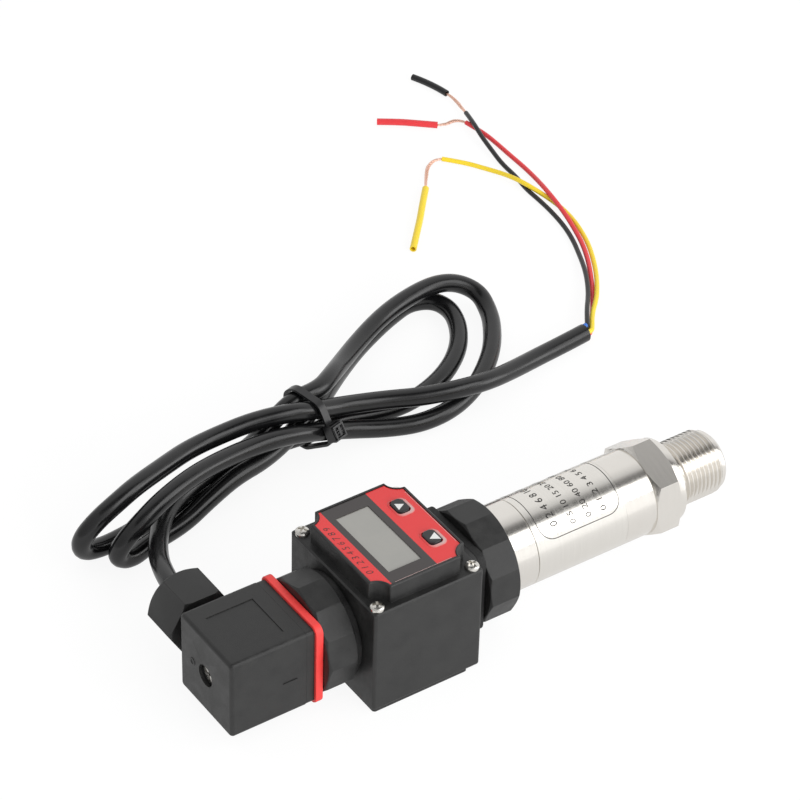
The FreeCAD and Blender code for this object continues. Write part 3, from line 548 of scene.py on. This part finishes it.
def addFitting():
    cut = {"inset": 0.00003, "slack": 1e-6, "bore": 0.005, "rim": 0.0095, "facing": 0.9, "thin": 1e-6, "fine": 1e-7}
    shape = merged("process_fitting")
    begin = thread["Start"] + cut["inset"]
    end = thread["Start"] + thread["Length"] - cut["inset"]
    for x in (begin, end):
        bmesh.ops.bisect_plane(shape, geom=shape.verts[:] + shape.edges[:] + shape.faces[:],
                               plane_co=(x, 0, 0), plane_no=(1, 0, 0), dist=cut["fine"])
    # the plain cylinder goes, the bore and the flat ends stay
    gone = []
    for face in shape.faces:
        middle = face.calc_center_bounds()
        rim = max(math.hypot(v.co.y, v.co.z - axisHeight) for v in face.verts)
        inside = begin - cut["slack"] < middle.x < end + cut["slack"] and rim > cut["bore"]
        if inside and (abs(face.normal.x) < cut["facing"] or rim > cut["rim"]):
            gone.append(face)
    bmesh.ops.delete(shape, geom=gone, context="FACES")
    addPiece("processFitting", shape, turnedSteel, fixed, "process_fitting", 0.00012)
    form = bmesh.new()
    form.from_mesh(grown(threadGroup(), thread, turnedSteel))
    bmesh.ops.dissolve_degenerate(form, dist=cut["thin"], edges=form.edges)
    bmesh.ops.recalc_face_normals(form, faces=form.faces)
    outward = 0.0
    for face in form.faces:
        middle = face.calc_center_median()
        outward += face.normal.dot(Vector((0, middle.y, middle.z - axisHeight)))
    if outward < 0:
        bmesh.ops.reverse_faces(form, faces=form.faces)
    addPiece("processThread", form, turnedSteel, fixed, smooth=34)


addFitting()
print("thread cut")

screw = {"Spread X": 0.0316, "Spread Y": 0.0376, "Seat": 0.0362, "Head Radius": 2.14, "Head Height": 1.5,
         "Fullness": 0.62, "Recess": 2.7, "Blade": 0.72, "Depth": 0.8}


def screwGroup():
    # built in millimetres, because the boolean needs the size, then made small
    tree, given = newGroup("panScrews", screw)
    asked = given.outputs
    form = {"segments": 40, "rings": 24, "bar": 4.0, "seed": 7, "turn": 1.4, "scale": (0.001, 0.001, 0.001)}
    ball = groupNode(tree, "GeometryNodeMeshUVSphere",
                     [("Segments", form["segments"]), ("Rings", form["rings"]), ("Radius", 1.0)])
    spot = groupNode(tree, "ShaderNodeSeparateXYZ", [(0, tree.nodes.new("GeometryNodeInputPosition").outputs[0])])
    full = calc(tree, "POWER", calc(tree, "ABSOLUTE", spot.outputs["Z"]), asked["Fullness"])
    tall = calc(tree, "MULTIPLY", full, calc(tree, "SIGN", spot.outputs["Z"]))
    shaped = groupNode(tree, "ShaderNodeCombineXYZ",
                       [("X", calc(tree, "MULTIPLY", spot.outputs["X"], asked["Head Radius"])),
                        ("Y", calc(tree, "MULTIPLY", spot.outputs["Y"], asked["Head Radius"])),
                        ("Z", calc(tree, "MULTIPLY", tall, asked["Head Height"]))])
    head = groupNode(tree, "GeometryNodeSetPosition",
                     [("Geometry", ball.outputs["Mesh"]), ("Position", shaped.outputs[0])])
    cut = groupNode(tree, "GeometryNodeMeshBoolean", [("Mesh 1", head.outputs[0])],
                    operation="DIFFERENCE", solver="EXACT")
    above = calc(tree, "SUBTRACT", calc(tree, "ADD", asked["Head Height"], form["bar"] / 2),
                 asked["Depth"])
    lift = groupNode(tree, "ShaderNodeCombineXYZ", [("Z", above)])
    for first, second in (("Recess", "Blade"), ("Blade", "Recess")):
        extent = groupNode(tree, "ShaderNodeCombineXYZ",
                           [("X", asked[first]), ("Y", asked[second]),
                            ("Z", form["bar"])])
        bar = groupNode(tree, "GeometryNodeMeshCube", [("Size", extent.outputs[0])])
        up = groupNode(tree, "GeometryNodeTransform",
                       [("Geometry", bar.outputs["Mesh"]), ("Translation", lift.outputs[0])])
        tree.links.new(up.outputs[0], cut.inputs["Mesh 2"])
    small = groupNode(tree, "GeometryNodeTransform",
                      [("Geometry", cut.outputs[0]), ("Scale", form["scale"])])
    corners = groupNode(tree, "GeometryNodeMeshGrid",
                        [("Size X", asked["Spread X"]), ("Size Y", asked["Spread Y"]),
                         ("Vertices X", 2), ("Vertices Y", 2)])
    rise = groupNode(tree, "ShaderNodeCombineXYZ", [("Z", asked["Seat"])])
    seat = groupNode(tree, "GeometryNodeTransform",
                     [("Geometry", corners.outputs["Mesh"]), ("Translation", rise.outputs[0])])
    spin = groupNode(tree, "FunctionNodeRandomValue", [("Seed", form["seed"])], data_type="FLOAT")
    spin.inputs[3].default_value = form["turn"]
    turn = groupNode(tree, "ShaderNodeCombineXYZ", [("Z", spin.outputs[1])])
    copies = groupNode(tree, "GeometryNodeInstanceOnPoints",
                       [("Points", seat.outputs[0]), ("Instance", small.outputs[0]), ("Rotation", turn.outputs[0])])
    endGroup(tree, given, copies.outputs[0])
    return tree


addPiece("coverScrews", grown(screwGroup(), screw, screwSteel), screwSteel, fixed, "cover_screws", smooth=35)
print("cover screws set")


# Marks and keys on the head, and the small raised marks of the plug.

def flatMesh(loops, height, top):
    # thin plates from closed outlines in X and Y
    shape = bmesh.new()
    for loop in loops:
        low = [shape.verts.new((x, y, height)) for x, y in loop]
        face = shape.faces.new(low)
        if face.normal.z < 0:
            face.normal_flip()
        raised = bmesh.ops.extrude_face_region(shape, geom=[face])
        for v in (g for g in raised["geom"] if isinstance(g, bmesh.types.BMVert)):
            v.co.z = top
    bmesh.ops.recalc_face_normals(shape, faces=shape.faces)
    return shape


def addBox(shape, x, y, z):
    made = bmesh.ops.create_cube(shape, size=1.0)
    for v in made["verts"]:
        v.co = [(low + high) / 2 + v.co[i] * (high - low) for i, (low, high) in enumerate((x, y, z))]


def joinRings(shape, rings):
    for a, b in zip(rings, rings[1:]):
        for i in range(len(a)):
            j = (i + 1) % len(a)
            shape.faces.new((a[i], a[j], b[j], b[i]))


def addKeyMarks():
    mark = {"z0": 0.04255, "z1": 0.04264, "downTip": (10.75, 7.62), "downBase": ((8.42, 9.05), (8.15, 6.2)),
            "upTip": (8.35, -8.6), "upBase": ((11.0, -10.25), (11.0, -7.0))}
    for name, body in (("down", "down_key"), ("up", "up_key")):
        loop = [mm(p) for p in (mark[name + "Tip"], *mark[name + "Base"])]
        addPiece(name + "Arrow", flatMesh([loop], mark["z0"], mark["z1"]), whiteInk, body)


def roundedLoop(x, y, halfX, halfY, corner):
    loop, steps = [], 10
    for cx, cy, start in ((1, 1, 0), (-1, 1, 90), (-1, -1, 180), (1, -1, 270)):
        for k in range(steps + 1):
            a = math.radians(start + 90 * k / steps)
            loop.append((x + cx * (halfX - corner) + corner * math.cos(a),
                         y + cy * (halfY - corner) + corner * math.sin(a)))
    return loop


def highlightedDomeMaterial():
    # red film colour, turned pale where the rings carry a painted highlight
    highlightTint = {"film": (0.76, 0.034, 0.036, 1), "pale": (0.60, 0.42, 0.40, 1)}
    dome = newMaterial("clearDome", (0.74, 0.05, 0.05), 0.2, coat=0.3)
    tree = dome.node_tree
    pale = addNode(tree, "Attribute", attribute_name="pale")
    ramp = addNode(tree, "ValToRGB")
    ramp.color_ramp.elements[0].color = highlightTint["film"]
    ramp.color_ramp.elements[1].color = highlightTint["pale"]
    tree.links.new(pale.outputs["Fac"], ramp.inputs["Fac"])
    tree.links.new(ramp.outputs[0], tree.nodes["Principled BSDF"].inputs["Base Color"])
    return dome


def addKeyRings():
    ring = {"x": 0.0096, "y": 0.0079, "halfX": 0.00225, "halfY": 0.00305, "corner": 0.0012, "skirt": 0.00085,
            "top": 0.04205, "film": 0.0418, "driftX": 0.25, "driftY": -0.3, "base": 0.35, "contrast": 0.55,
            "rows": ((0.0, 0.0), (0.02, 1.0), (0.3, 1.0), (0.5, 0.82), (0.7, 0.5), (0.85, 0.22), (1.0, 0.02))}
    shape = bmesh.new()
    pale = shape.verts.layers.float.new("pale")
    for sign in (1, -1):
        y = sign * ring["y"]
        rows = []
        for grow, rise in ring["rows"]:
            g = grow * ring["skirt"]
            z = ring["film"] + (ring["top"] - ring["film"]) * rise
            row = []
            for px, py in roundedLoop(ring["x"] + ring["driftX"] * g, y + ring["driftY"] * g, ring["halfX"] + g,
                                      ring["halfY"] + g, ring["corner"] + g):
                vert = shape.verts.new((px, py, z))
                # painted highlight: paler on the ring's +X and -Y side, towards the key lamp, fading towards the film
                facing = (px - ring["x"]) / ring["halfX"] - (py - y) / ring["halfY"]
                vert[pale] = max(0.0, min(1.0, ring["base"] + ring["contrast"] * facing)) * (1 - grow ** 3)
                row.append(vert)
            rows.append(row)
        joinRings(shape, rows)
    bmesh.ops.recalc_face_normals(shape, faces=shape.faces)
    addPiece("keyRings", shape, highlightedDomeMaterial(), fixed, "button_rings")


def figures(text, size, slant=0.0):
    # flat plain figures that start at the origin, with short edges so they can be wrapped
    write = {"curve": 3, "weld": 0.002, "longest": 0.0006}
    data = bpy.data.curves.new("figures", "FONT")
    data.body = text
    data.size = size
    data.shear = slant
    data.resolution_u = write["curve"]
    writer = bpy.data.objects.new("figures", data)
    bpy.context.collection.objects.link(writer)
    bpy.context.view_layer.update()
    flat = bpy.data.meshes.new_from_object(writer.evaluated_get(bpy.context.evaluated_depsgraph_get()))
    bpy.data.objects.remove(writer)
    shape = bmesh.new()
    shape.from_mesh(flat)
    bmesh.ops.remove_doubles(shape, verts=shape.verts, dist=size * write["weld"])
    for _ in range(2):
        tooLong = [e for e in shape.edges if e.calc_length() > write["longest"]]
        if tooLong:
            bmesh.ops.subdivide_edges(shape, edges=tooLong, cuts=1)
    bmesh.ops.triangulate(shape, faces=shape.faces)
    return shape


def addOverlayMarks():
    art = {"film": 0.0418, "lift": 0.00001, "x": -0.0119, "start": -0.0116, "size": 0.0028, "slant": 0.25,
           "text": "0 1 2 3 4 5 6 7 8 9", "line": 0.00012, "thick": 0.00003, "right": 0.01455, "side": 0.0126,
           "front": -0.01765, "frontFrom": -0.0093, "frontTo": 0.0095}
    shape = figures(art["text"], art["size"], art["slant"])
    reach = max(v.co.x for v in shape.verts)
    for v in shape.verts:
        v.co = (art["x"] - v.co.y, art["start"] - v.co.x * 2 * art["start"] / reach, art["film"] + art["lift"])
    for face in shape.faces:
        face.normal_update()
        if face.normal.z < 0:
            face.normal_flip()
    addPiece("overlayFigures", shape, darkInk, fixed)
    # thin pale lines on the film's right and front edges, towards the key lamp: painted highlight
    w = art["line"] / 2
    highlightLoops = []
    for x0, x1, y0, y1 in ((art["right"] - w, art["right"] + w, -art["side"], art["side"]),
                           (art["frontFrom"], art["frontTo"], art["front"] - w, art["front"] + w)):
        highlightLoops.append([(x0, y0), (x1, y0), (x1, y1), (x0, y1)])
    addPiece("overlayEdge", flatMesh(highlightLoops, art["film"], art["film"] + art["thick"]), edgeHighlight, fixed)


def addPlugMarks():
    # a raised ring on the plug's end and a short dash on its side
    plug = {"end": -0.0594, "front": -0.0133, "ringY": 0.0067, "ringZ": 0.0186, "ringOut": 0.0013, "ringIn": 0.0008,
            "draft": 0.0001, "foot": 0.00005, "rise": -0.00018, "round": 28, "dashX": (-0.0426, -0.0380),
            "dashZ": 0.0171, "dashHalf": 0.00015, "dashDepth": 0.0002}
    shape = bmesh.new()
    angles = [2 * math.pi * i / plug["round"] for i in range(plug["round"])]
    rows = []
    for radius, x in ((plug["ringOut"], plug["foot"]), (plug["ringOut"] - plug["draft"], plug["rise"]),
                      (plug["ringIn"], plug["rise"]), (plug["ringIn"] - plug["draft"], plug["foot"])):
        rows.append([shape.verts.new((plug["end"] + x, plug["ringY"] + radius * math.cos(a),
                                      plug["ringZ"] + radius * math.sin(a))) for a in angles])
    joinRings(shape, rows)
    addBox(shape, plug["dashX"], (plug["front"] - plug["dashDepth"], plug["front"] + plug["dashDepth"]),
           (plug["dashZ"] - plug["dashHalf"], plug["dashZ"] + plug["dashHalf"]))
    bmesh.ops.recalc_face_normals(shape, faces=shape.faces)
    addPiece("plugMarks", shape, nylon, "plug")


addKeyMarks()
addKeyRings()
addOverlayMarks()
addPlugMarks()
print("keys and marks made")


# Etched frame and figures on the steel tube, wrapped round it.

label = {"radius": 0.01327, "lift": 0.00002, "x0": 0.0462, "x1": 0.0746, "from": -66.0, "to": 59.5,
         "corner": 0.0048, "line": 0.00024, "step": 0.0008,
         "rows": [("0 2 4 6 8 10 12", 0.0527, 45, -50, 0.0034), ("0 5 10 15 20 25 30", 0.0586, 51, -50, 0.0027),
                  ("0 20 40 60 80 100", 0.0641, 51, -50, 0.0027), ("0 1 2 3 4 5 6 7 8", 0.0694, 51, -50, 0.0027)]}


def wrapped(x, s, lift=0.0):
    r = label["radius"]
    return (x, -(r + lift) * math.sin(s / r), axisHeight + (r + lift) * math.cos(s / r))


def divided(path):
    full = []
    for a, b in zip(path, path[1:] + path[:1]):
        cuts = max(1, int(math.dist(a, b) / label["step"]))
        full += [(a[0] + (b[0] - a[0]) * k / cuts, a[1] + (b[1] - a[1]) * k / cuts) for k in range(cuts)]
    return full


def resampled(path, count):
    # evenly spaced points on a closed path
    whole = path + path[:1]
    lengths = [0.0]
    for a, b in zip(whole, whole[1:]):
        lengths.append(lengths[-1] + math.dist(a, b))
    out, j = [], 0
    for k in range(count):
        want = lengths[-1] * k / count
        while lengths[j + 1] < want:
            j += 1
        t = (want - lengths[j]) / max(lengths[j + 1] - lengths[j], 1e-9)
        a, b = whole[j], whole[j + 1]
        out.append((a[0] + (b[0] - a[0]) * t, a[1] + (b[1] - a[1]) * t))
    return out


def addLabel():
    r = label["radius"]
    shape = bmesh.new()
    s0, s1 = math.radians(label["from"]) * r, math.radians(label["to"]) * r
    outlines = []
    for grow in (0.0, -label["line"]):
        outlines.append(divided(roundedLoop(
            (label["x0"] + label["x1"]) / 2, (s0 + s1) / 2, (label["x1"] - label["x0"]) / 2 + grow,
            (s1 - s0) / 2 + grow, label["corner"] + grow)))
    count = min(len(path) for path in outlines)
    joinRings(shape, [[shape.verts.new(wrapped(*p)) for p in resampled(path, count)] for path in outlines])
    for text, x, start, end, size in label["rows"]:
        row = figures(text, size)
        reach = max(v.co.x for v in row.verts)
        first, last = math.radians(start) * r, math.radians(end) * r
        made = {v: shape.verts.new(wrapped(x - v.co.y, first + (last - first) * v.co.x / reach, label["lift"]))
                for v in row.verts}
        for face in row.faces:
            shape.faces.new([made[v] for v in face.verts])
        row.free()
    for face in shape.faces:
        middle = face.calc_center_median()
        if face.normal.length == 0:
            face.normal_update()
        if face.normal.dot(Vector((0, middle.y, middle.z - axisHeight))) < 0:
            face.normal_flip()
    addPiece("tubeMarks", shape, etchedMark, fixed)


addLabel()
print("tube marked")


# Details of the tie's lock, set in the lock's own frame and turned with it.

def addTieDetails():
    # a frame of four ribs with a bar and two teeth inside, in millimetres
    tie = {"middle": (30.6, 86.0), "turn": 16.0, "lean": (-5.35, 9.2, -1.6, 15.9), "outer": -7.6, "root": 0.1,
           "low": -6.1, "high": -0.9, "half": 2.5, "inset": 0.35, "rib": 0.22, "bar": 0.16, "tooth": 0.1,
           "toothHalf": 1.1}
    y0, z0, y1, z1 = tie["lean"]
    lean = -math.atan2(y1 - y0, z1 - z0)
    place = Matrix.Translation((*mm(tie["middle"]), 0)) @ Matrix.Rotation(math.radians(tie["turn"]), 4, "Z")
    turn = place @ Matrix.Translation((0, *mm(((y0 + y1) / 2, (z0 + z1) / 2)))) @ Matrix.Rotation(lean, 4, "X")
    shape = bmesh.new()
    out, low, high, side = tie["outer"], tie["low"], tie["high"], tie["half"] - tie["inset"]
    teeth, inset = tie["toothHalf"], tie["inset"]
    parts = [((-side, side), tie["rib"], (high - 0.9, high - 0.3)),
             ((-side, side), tie["rib"], (low + 0.3, low + 0.9)),
             ((-side, 0.9 - tie["half"]), tie["rib"], (low + 0.8, high - 0.8)),
             ((tie["half"] - 0.9, side), tie["rib"], (low + 0.8, high - 0.8)),
             ((-inset, inset), tie["bar"], (low + 1.2, high - 1.2)),
             ((-teeth, teeth), tie["tooth"], (low + 2.2, low + 2.6)),
             ((-teeth, teeth), tie["tooth"], (low + 3.0, low + 3.4))]
    for x, rise, z in parts:
        addBox(shape, mm(x), mm((out - rise, out + tie["root"])), mm(z))
    shape.transform(turn)
    bmesh.ops.recalc_face_normals(shape, faces=shape.faces)
    addPiece("tieLockDetails", shape, tieNylon, "plug", edge=0.00006)


addTieDetails()
print("tie lock detailed")


# Cable, wires and bare ends.

def quadratic(points, steps):
    # points along the same smooth curve that a cord with these control points follows
    p = [Vector(mm(q)) for q in points]
    joints = [p[0]] + [(a + b) / 2 for a, b in zip(p[1:-2], p[2:-1])] + [p[-1]]
    line = [p[0]]
    for a, control, b in zip(joints, p[1:-1], joints[1:]):
        for k in range(1, steps + 1):
            t = k / steps
            line.append(a * (1 - t) ** 2 + control * 2 * t * (1 - t) + b * t * t)
    return line


def sides(line):
    # a steady pair of cross directions at each point of a line
    pairs, across = [], None
    for i, here in enumerate(line):
        heading = (line[min(i + 1, len(line) - 1)] - line[max(i - 1, 0)]).normalized()
        if across is None:
            across = heading.cross(Vector((0, 0, 1))).normalized()
        across = (across - heading * across.dot(heading)).normalized()
        pairs.append((across, heading.cross(across)))
    return pairs


def newCurve(name, thick, rounds):
    data = bpy.data.curves.new(name, "CURVE")
    data.dimensions = "3D"
    data.bevel_depth = thick
    data.bevel_resolution = rounds
    data.use_fill_caps = True
    return data


def addCurve(name, data, material, node):
    data.materials.append(material)
    piece = bpy.data.objects.new(name, data)
    bpy.context.collection.objects.link(piece)
    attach(piece, "plug")
    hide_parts(node)
    return piece


def addCord(name, points, radius, material, node):
    cord = {"rounds": 6, "steps": 8, "order": 3}
    data = newCurve(name, radius, cord["rounds"])
    data.resolution_u = cord["steps"]
    spline = data.splines.new("NURBS")
    spline.points.add(len(points) - 1)
    for point, place in zip(spline.points, points):
        point.co = (*mm(place), 1)
    spline.order_u = cord["order"]
    spline.use_endpoint_u = True
    return addCurve(name, data, material, node)


def addStrands(name, points, node):
    twist = {"strands": 7, "thick": 0.00017, "ring": 0.00030, "bulge": 0.00022, "turns": 2.2, "flat": 0.7,
             "least": 0.6, "more": 0.1, "steps": 10, "rounds": 2}
    line = quadratic(points, twist["steps"])
    pairs = sides(line)
    data = newCurve(name, twist["thick"], twist["rounds"])
    for k in range(twist["strands"]):
        spline = data.splines.new("POLY")
        spline.points.add(len(line) - 1)
        swell = twist["bulge"] * (twist["least"] + twist["more"] * k)
        for i, here in enumerate(line):
            t = i / (len(line) - 1)
            out = twist["ring"] + swell * math.sin(math.pi * t) if k else 0.0
            a = 2 * math.pi * (k / (twist["strands"] - 1) + twist["turns"] * t)
            across, up = pairs[i]
            spline.points[i].co = (*(here + across * out * math.cos(a) + up * out * twist["flat"] * math.sin(a)), 1)
    return addCurve(name, data, copper, node)


def addSleeve(name, points, material, node):
    tube = {"outer": 0.00115, "inner": 0.00075, "round": 24, "steps": 12}
    line = quadratic(points, tube["steps"])
    pairs = sides(line)
    shape = bmesh.new()
    rings = []
    order = [(i, tube["outer"]) for i in range(len(line))]
    order += [(i, tube["inner"]) for i in reversed(range(len(line)))]
    angles = [2 * math.pi * k / tube["round"] for k in range(tube["round"])]
    for i, radius in order:
        across, up = pairs[i]
        rings.append([shape.verts.new(line[i] + (across * math.cos(a) + up * math.sin(a)) * radius)
                      for a in angles])
    joinRings(shape, rings + rings[:1])
    bmesh.ops.recalc_face_normals(shape, faces=shape.faces)
    return addPiece(name, shape, material, "plug", node)


cable = {"radius": 0.00295, "length": 0.972, "exit": (-0.0488, 0.033, 0.0184), "coreRadius": 0.0008,
         "coreLead": 2.2}
cableRoute = [
    (-48.8, 16, 18.4), (-48.8, 31, 18.4), (-45.5, 45.5, 16.2), (-41, 56, 12.8), (-34.5, 66.5, 10.6),
    (-27, 74.5, 10.2), (-16, 80, 9.8), (-4.5, 83, 9.4), (7, 86, 9.4), (13.5, 88, 10.2),
    (20.5, 90, 13.4), (28, 91, 16.8), (37.5, 91.5, 16.6), (44.5, 96, 15.8), (53.5, 103.5, 12.4),
    (63.5, 110.5, 10.8), (74.5, 116.5, 10.6), (85, 120.5, 10.8), (96.5, 123, 10.8), (104.5, 123.5, 10.2),
    (111, 122, 8.4), (115.5, 117.5, 5.6), (114.5, 111, 3.2), (111.5, 104.5, 3), (104.5, 94.5, 3),
    (96, 86.5, 3), (87, 80, 3), (75.5, 75.5, 3), (64, 75, 3), (53.5, 78, 3.6),
    (41.5, 81.5, 6), (29, 81, 10.8), (17.5, 80, 14.8), (4.5, 79.5, 16.2), (-8, 77, 18),
    (-19.5, 73.5, 19.6), (-31.5, 69.5, 19.2), (-39.5, 67, 17), (-46.5, 66.5, 12.2), (-48, 68, 6.2),
    (-43, 68.5, 3), (-35.5, 71, 3.2), (-22.5, 72.5, 4.2), (-12.5, 75, 7), (-1.5, 77.5, 9.4),
    (10, 80, 8.8), (22, 85, 8.6), (30.5, 88.5, 11), (39, 93.5, 9.8), (48, 101.5, 7),
    (58, 110, 4), (68.5, 117, 3), (80, 122.5, 3), (87.5, 125.5, 3), (95, 127.5, 3.4),
    (102, 124.5, 3.8), (104.5, 118, 3.4), (102, 109.5, 3), (95.5, 100, 3), (85.5, 92, 3),
    (74, 87, 3), (62.5, 85, 3), (50, 86.5, 4.2), (41.5, 87.5, 5.6), (33.5, 87.5, 4.4),
    (25, 89.5, 3.6), (18, 90, 3.4), (11, 89, 3), (0, 84.5, 3), (-11.5, 81.5, 3),
    (-22, 80, 3.2), (-32, 79.5, 3.1), (-40.5, 78, 3), (-48, 77.5, 3), (-54.5, 76.5, 5.4),
    (-55.5, 75, 11.4), (-50.5, 74, 17.2), (-43, 75, 20), (-35, 77.5, 21), (-23.5, 81.5, 20.2),
    (-13, 85.5, 19), (-1.5, 87.5, 18), (10.5, 87, 18.6), (22.5, 84.5, 18.6), (30.5, 84.5, 16),
    (43, 85.5, 12), (55.5, 83, 10.4), (67, 78.5, 9.8), (79.5, 75.5, 9.8), (90.5, 76, 8),
    (102.5, 79.5, 5.2), (114, 82.5, 3.4), (125.5, 84, 3), (133.5, 85, 3)]
wires = {
    "black": {"exit": (0.9, 0.2), "length": 0.135, "finish": coreBlack, "core": [
        (136.5, 87.6, 3.7), (141.4, 94.4, 3.6), (146.7, 100.7, 2.6), (151.3, 107.4, 2.4), (155.4, 114.6, 1.8),
        (159, 122.1, 0.9), (162.1, 129.6, 0.8), (164.3, 137.2, 0.8), (165.6, 145.4, 0.8), (166.2, 153.6, 0.8),
        (166.3, 161.9, 0.8), (167.7, 169.8, 0.8), (168.1, 178.5, 0.8), (169.2, 186.5, 1.7), (170.6, 194.3, 2.2),
        (172.4, 201.8, 3), (174.8, 209.4, 1.7)],
        "copper": [(174.8, 209.4, 1.7), (175.7, 212.9, 1.2), (176.4, 216.3, 1.1), (176.8, 219.9, 1.2),
                   (176.5, 223.5, 1.2)],
        "sleeve": [(176.5, 223.5, 1.2), (175.3, 231, 1.4), (172.3, 238.4, 1.2)]},
    "red": {"exit": (-0.1, -1.4), "length": 0.132, "finish": coreRed, "core": [
        (136.8, 86.2, 1.2), (141.7, 91.8, 0.8), (146.8, 98.3, 0.8), (151.6, 104.9, 0.8), (156, 111.9, 0.8),
        (160, 118.8, 0.8), (163.3, 126.2, 1.2), (165.8, 134.1, 1.5), (167.7, 142.1, 2.2), (168.7, 149.6, 3.1),
        (170.3, 157.4, 2.7), (172.4, 165.3, 1.2), (173.3, 173.4, 0.8), (173.4, 181.5, 0.8), (173.7, 189.7, 0.8),
        (173.6, 197.7, 0.8), (171.9, 205.2, 1.1)],
        "copper": [(171.9, 205.2, 1.1), (170.5, 207.2, 1.4), (168, 208.1, 1.3), (165.1, 208.2, 0.9),
                   (162.6, 209, 1.2)],
        "sleeve": [(162.6, 209, 1.2), (157.2, 212.9, 1.6), (151.9, 217.4, 1.6), (146.2, 221.8, 1.2)]},
    "yellow": {"exit": (-0.9, 0.3), "length": 0.124, "finish": coreYellow, "core": [
        (137.1, 85.7, 3.0), (141.9, 92.2, 2.6), (148.1, 98.1, 2.4), (153.3, 104.7, 1.5), (158, 111.5, 0.8),
        (161.9, 118.5, 0.8), (165.2, 125.5, 0.8), (167.6, 132.6, 0.8), (169.4, 140.2, 0.8), (170, 148.1, 0.8),
        (168.7, 156, 1.4), (165.8, 163.4, 3), (164.8, 171.4, 1.7), (162, 178.7, 0.8), (157.8, 185.9, 0.8),
        (152.1, 191.2, 1.3)],
        "copper": [(152.1, 191.2, 1.3), (149.7, 191.9, 1.4), (147.1, 191.1, 1.1), (144.9, 189.4, 0.9),
                   (142.4, 186.4, 0.8), (140, 183.2, 1), (137.6, 179.8, 1.2)],
        "sleeve": [(137.6, 179.8, 1.2), (131.9, 173.2, 1.4), (126.2, 166.4, 1.3), (120.5, 160, 1.4),
                   (114.6, 153.5, 1.2)]}}

jacket = addCord("cableJacket", cableRoute, cable["radius"], cableBlack, "cable_jacket")
face = Vector(cableRoute[-1])
heading = (face - Vector(cableRoute[-2])).normalized()
beside = Vector((-heading.y, heading.x, 0))
for colour, wire in wires.items():
    side, up = wire["exit"]
    first = face + beside * side + Vector((0, 0, up))
    core = addCord(colour + "Core", [tuple(first), tuple(first + heading * cable["coreLead"])] + wire["core"],
                   cable["coreRadius"], wire["finish"], colour + "_core")
    strand = addStrands(colour + "Copper", wire["copper"], colour + "_copper")
    sleeve = addSleeve(colour + "Sleeve", wire["sleeve"], wire["finish"], colour + "_sleeve")
print("cable and wires laid")
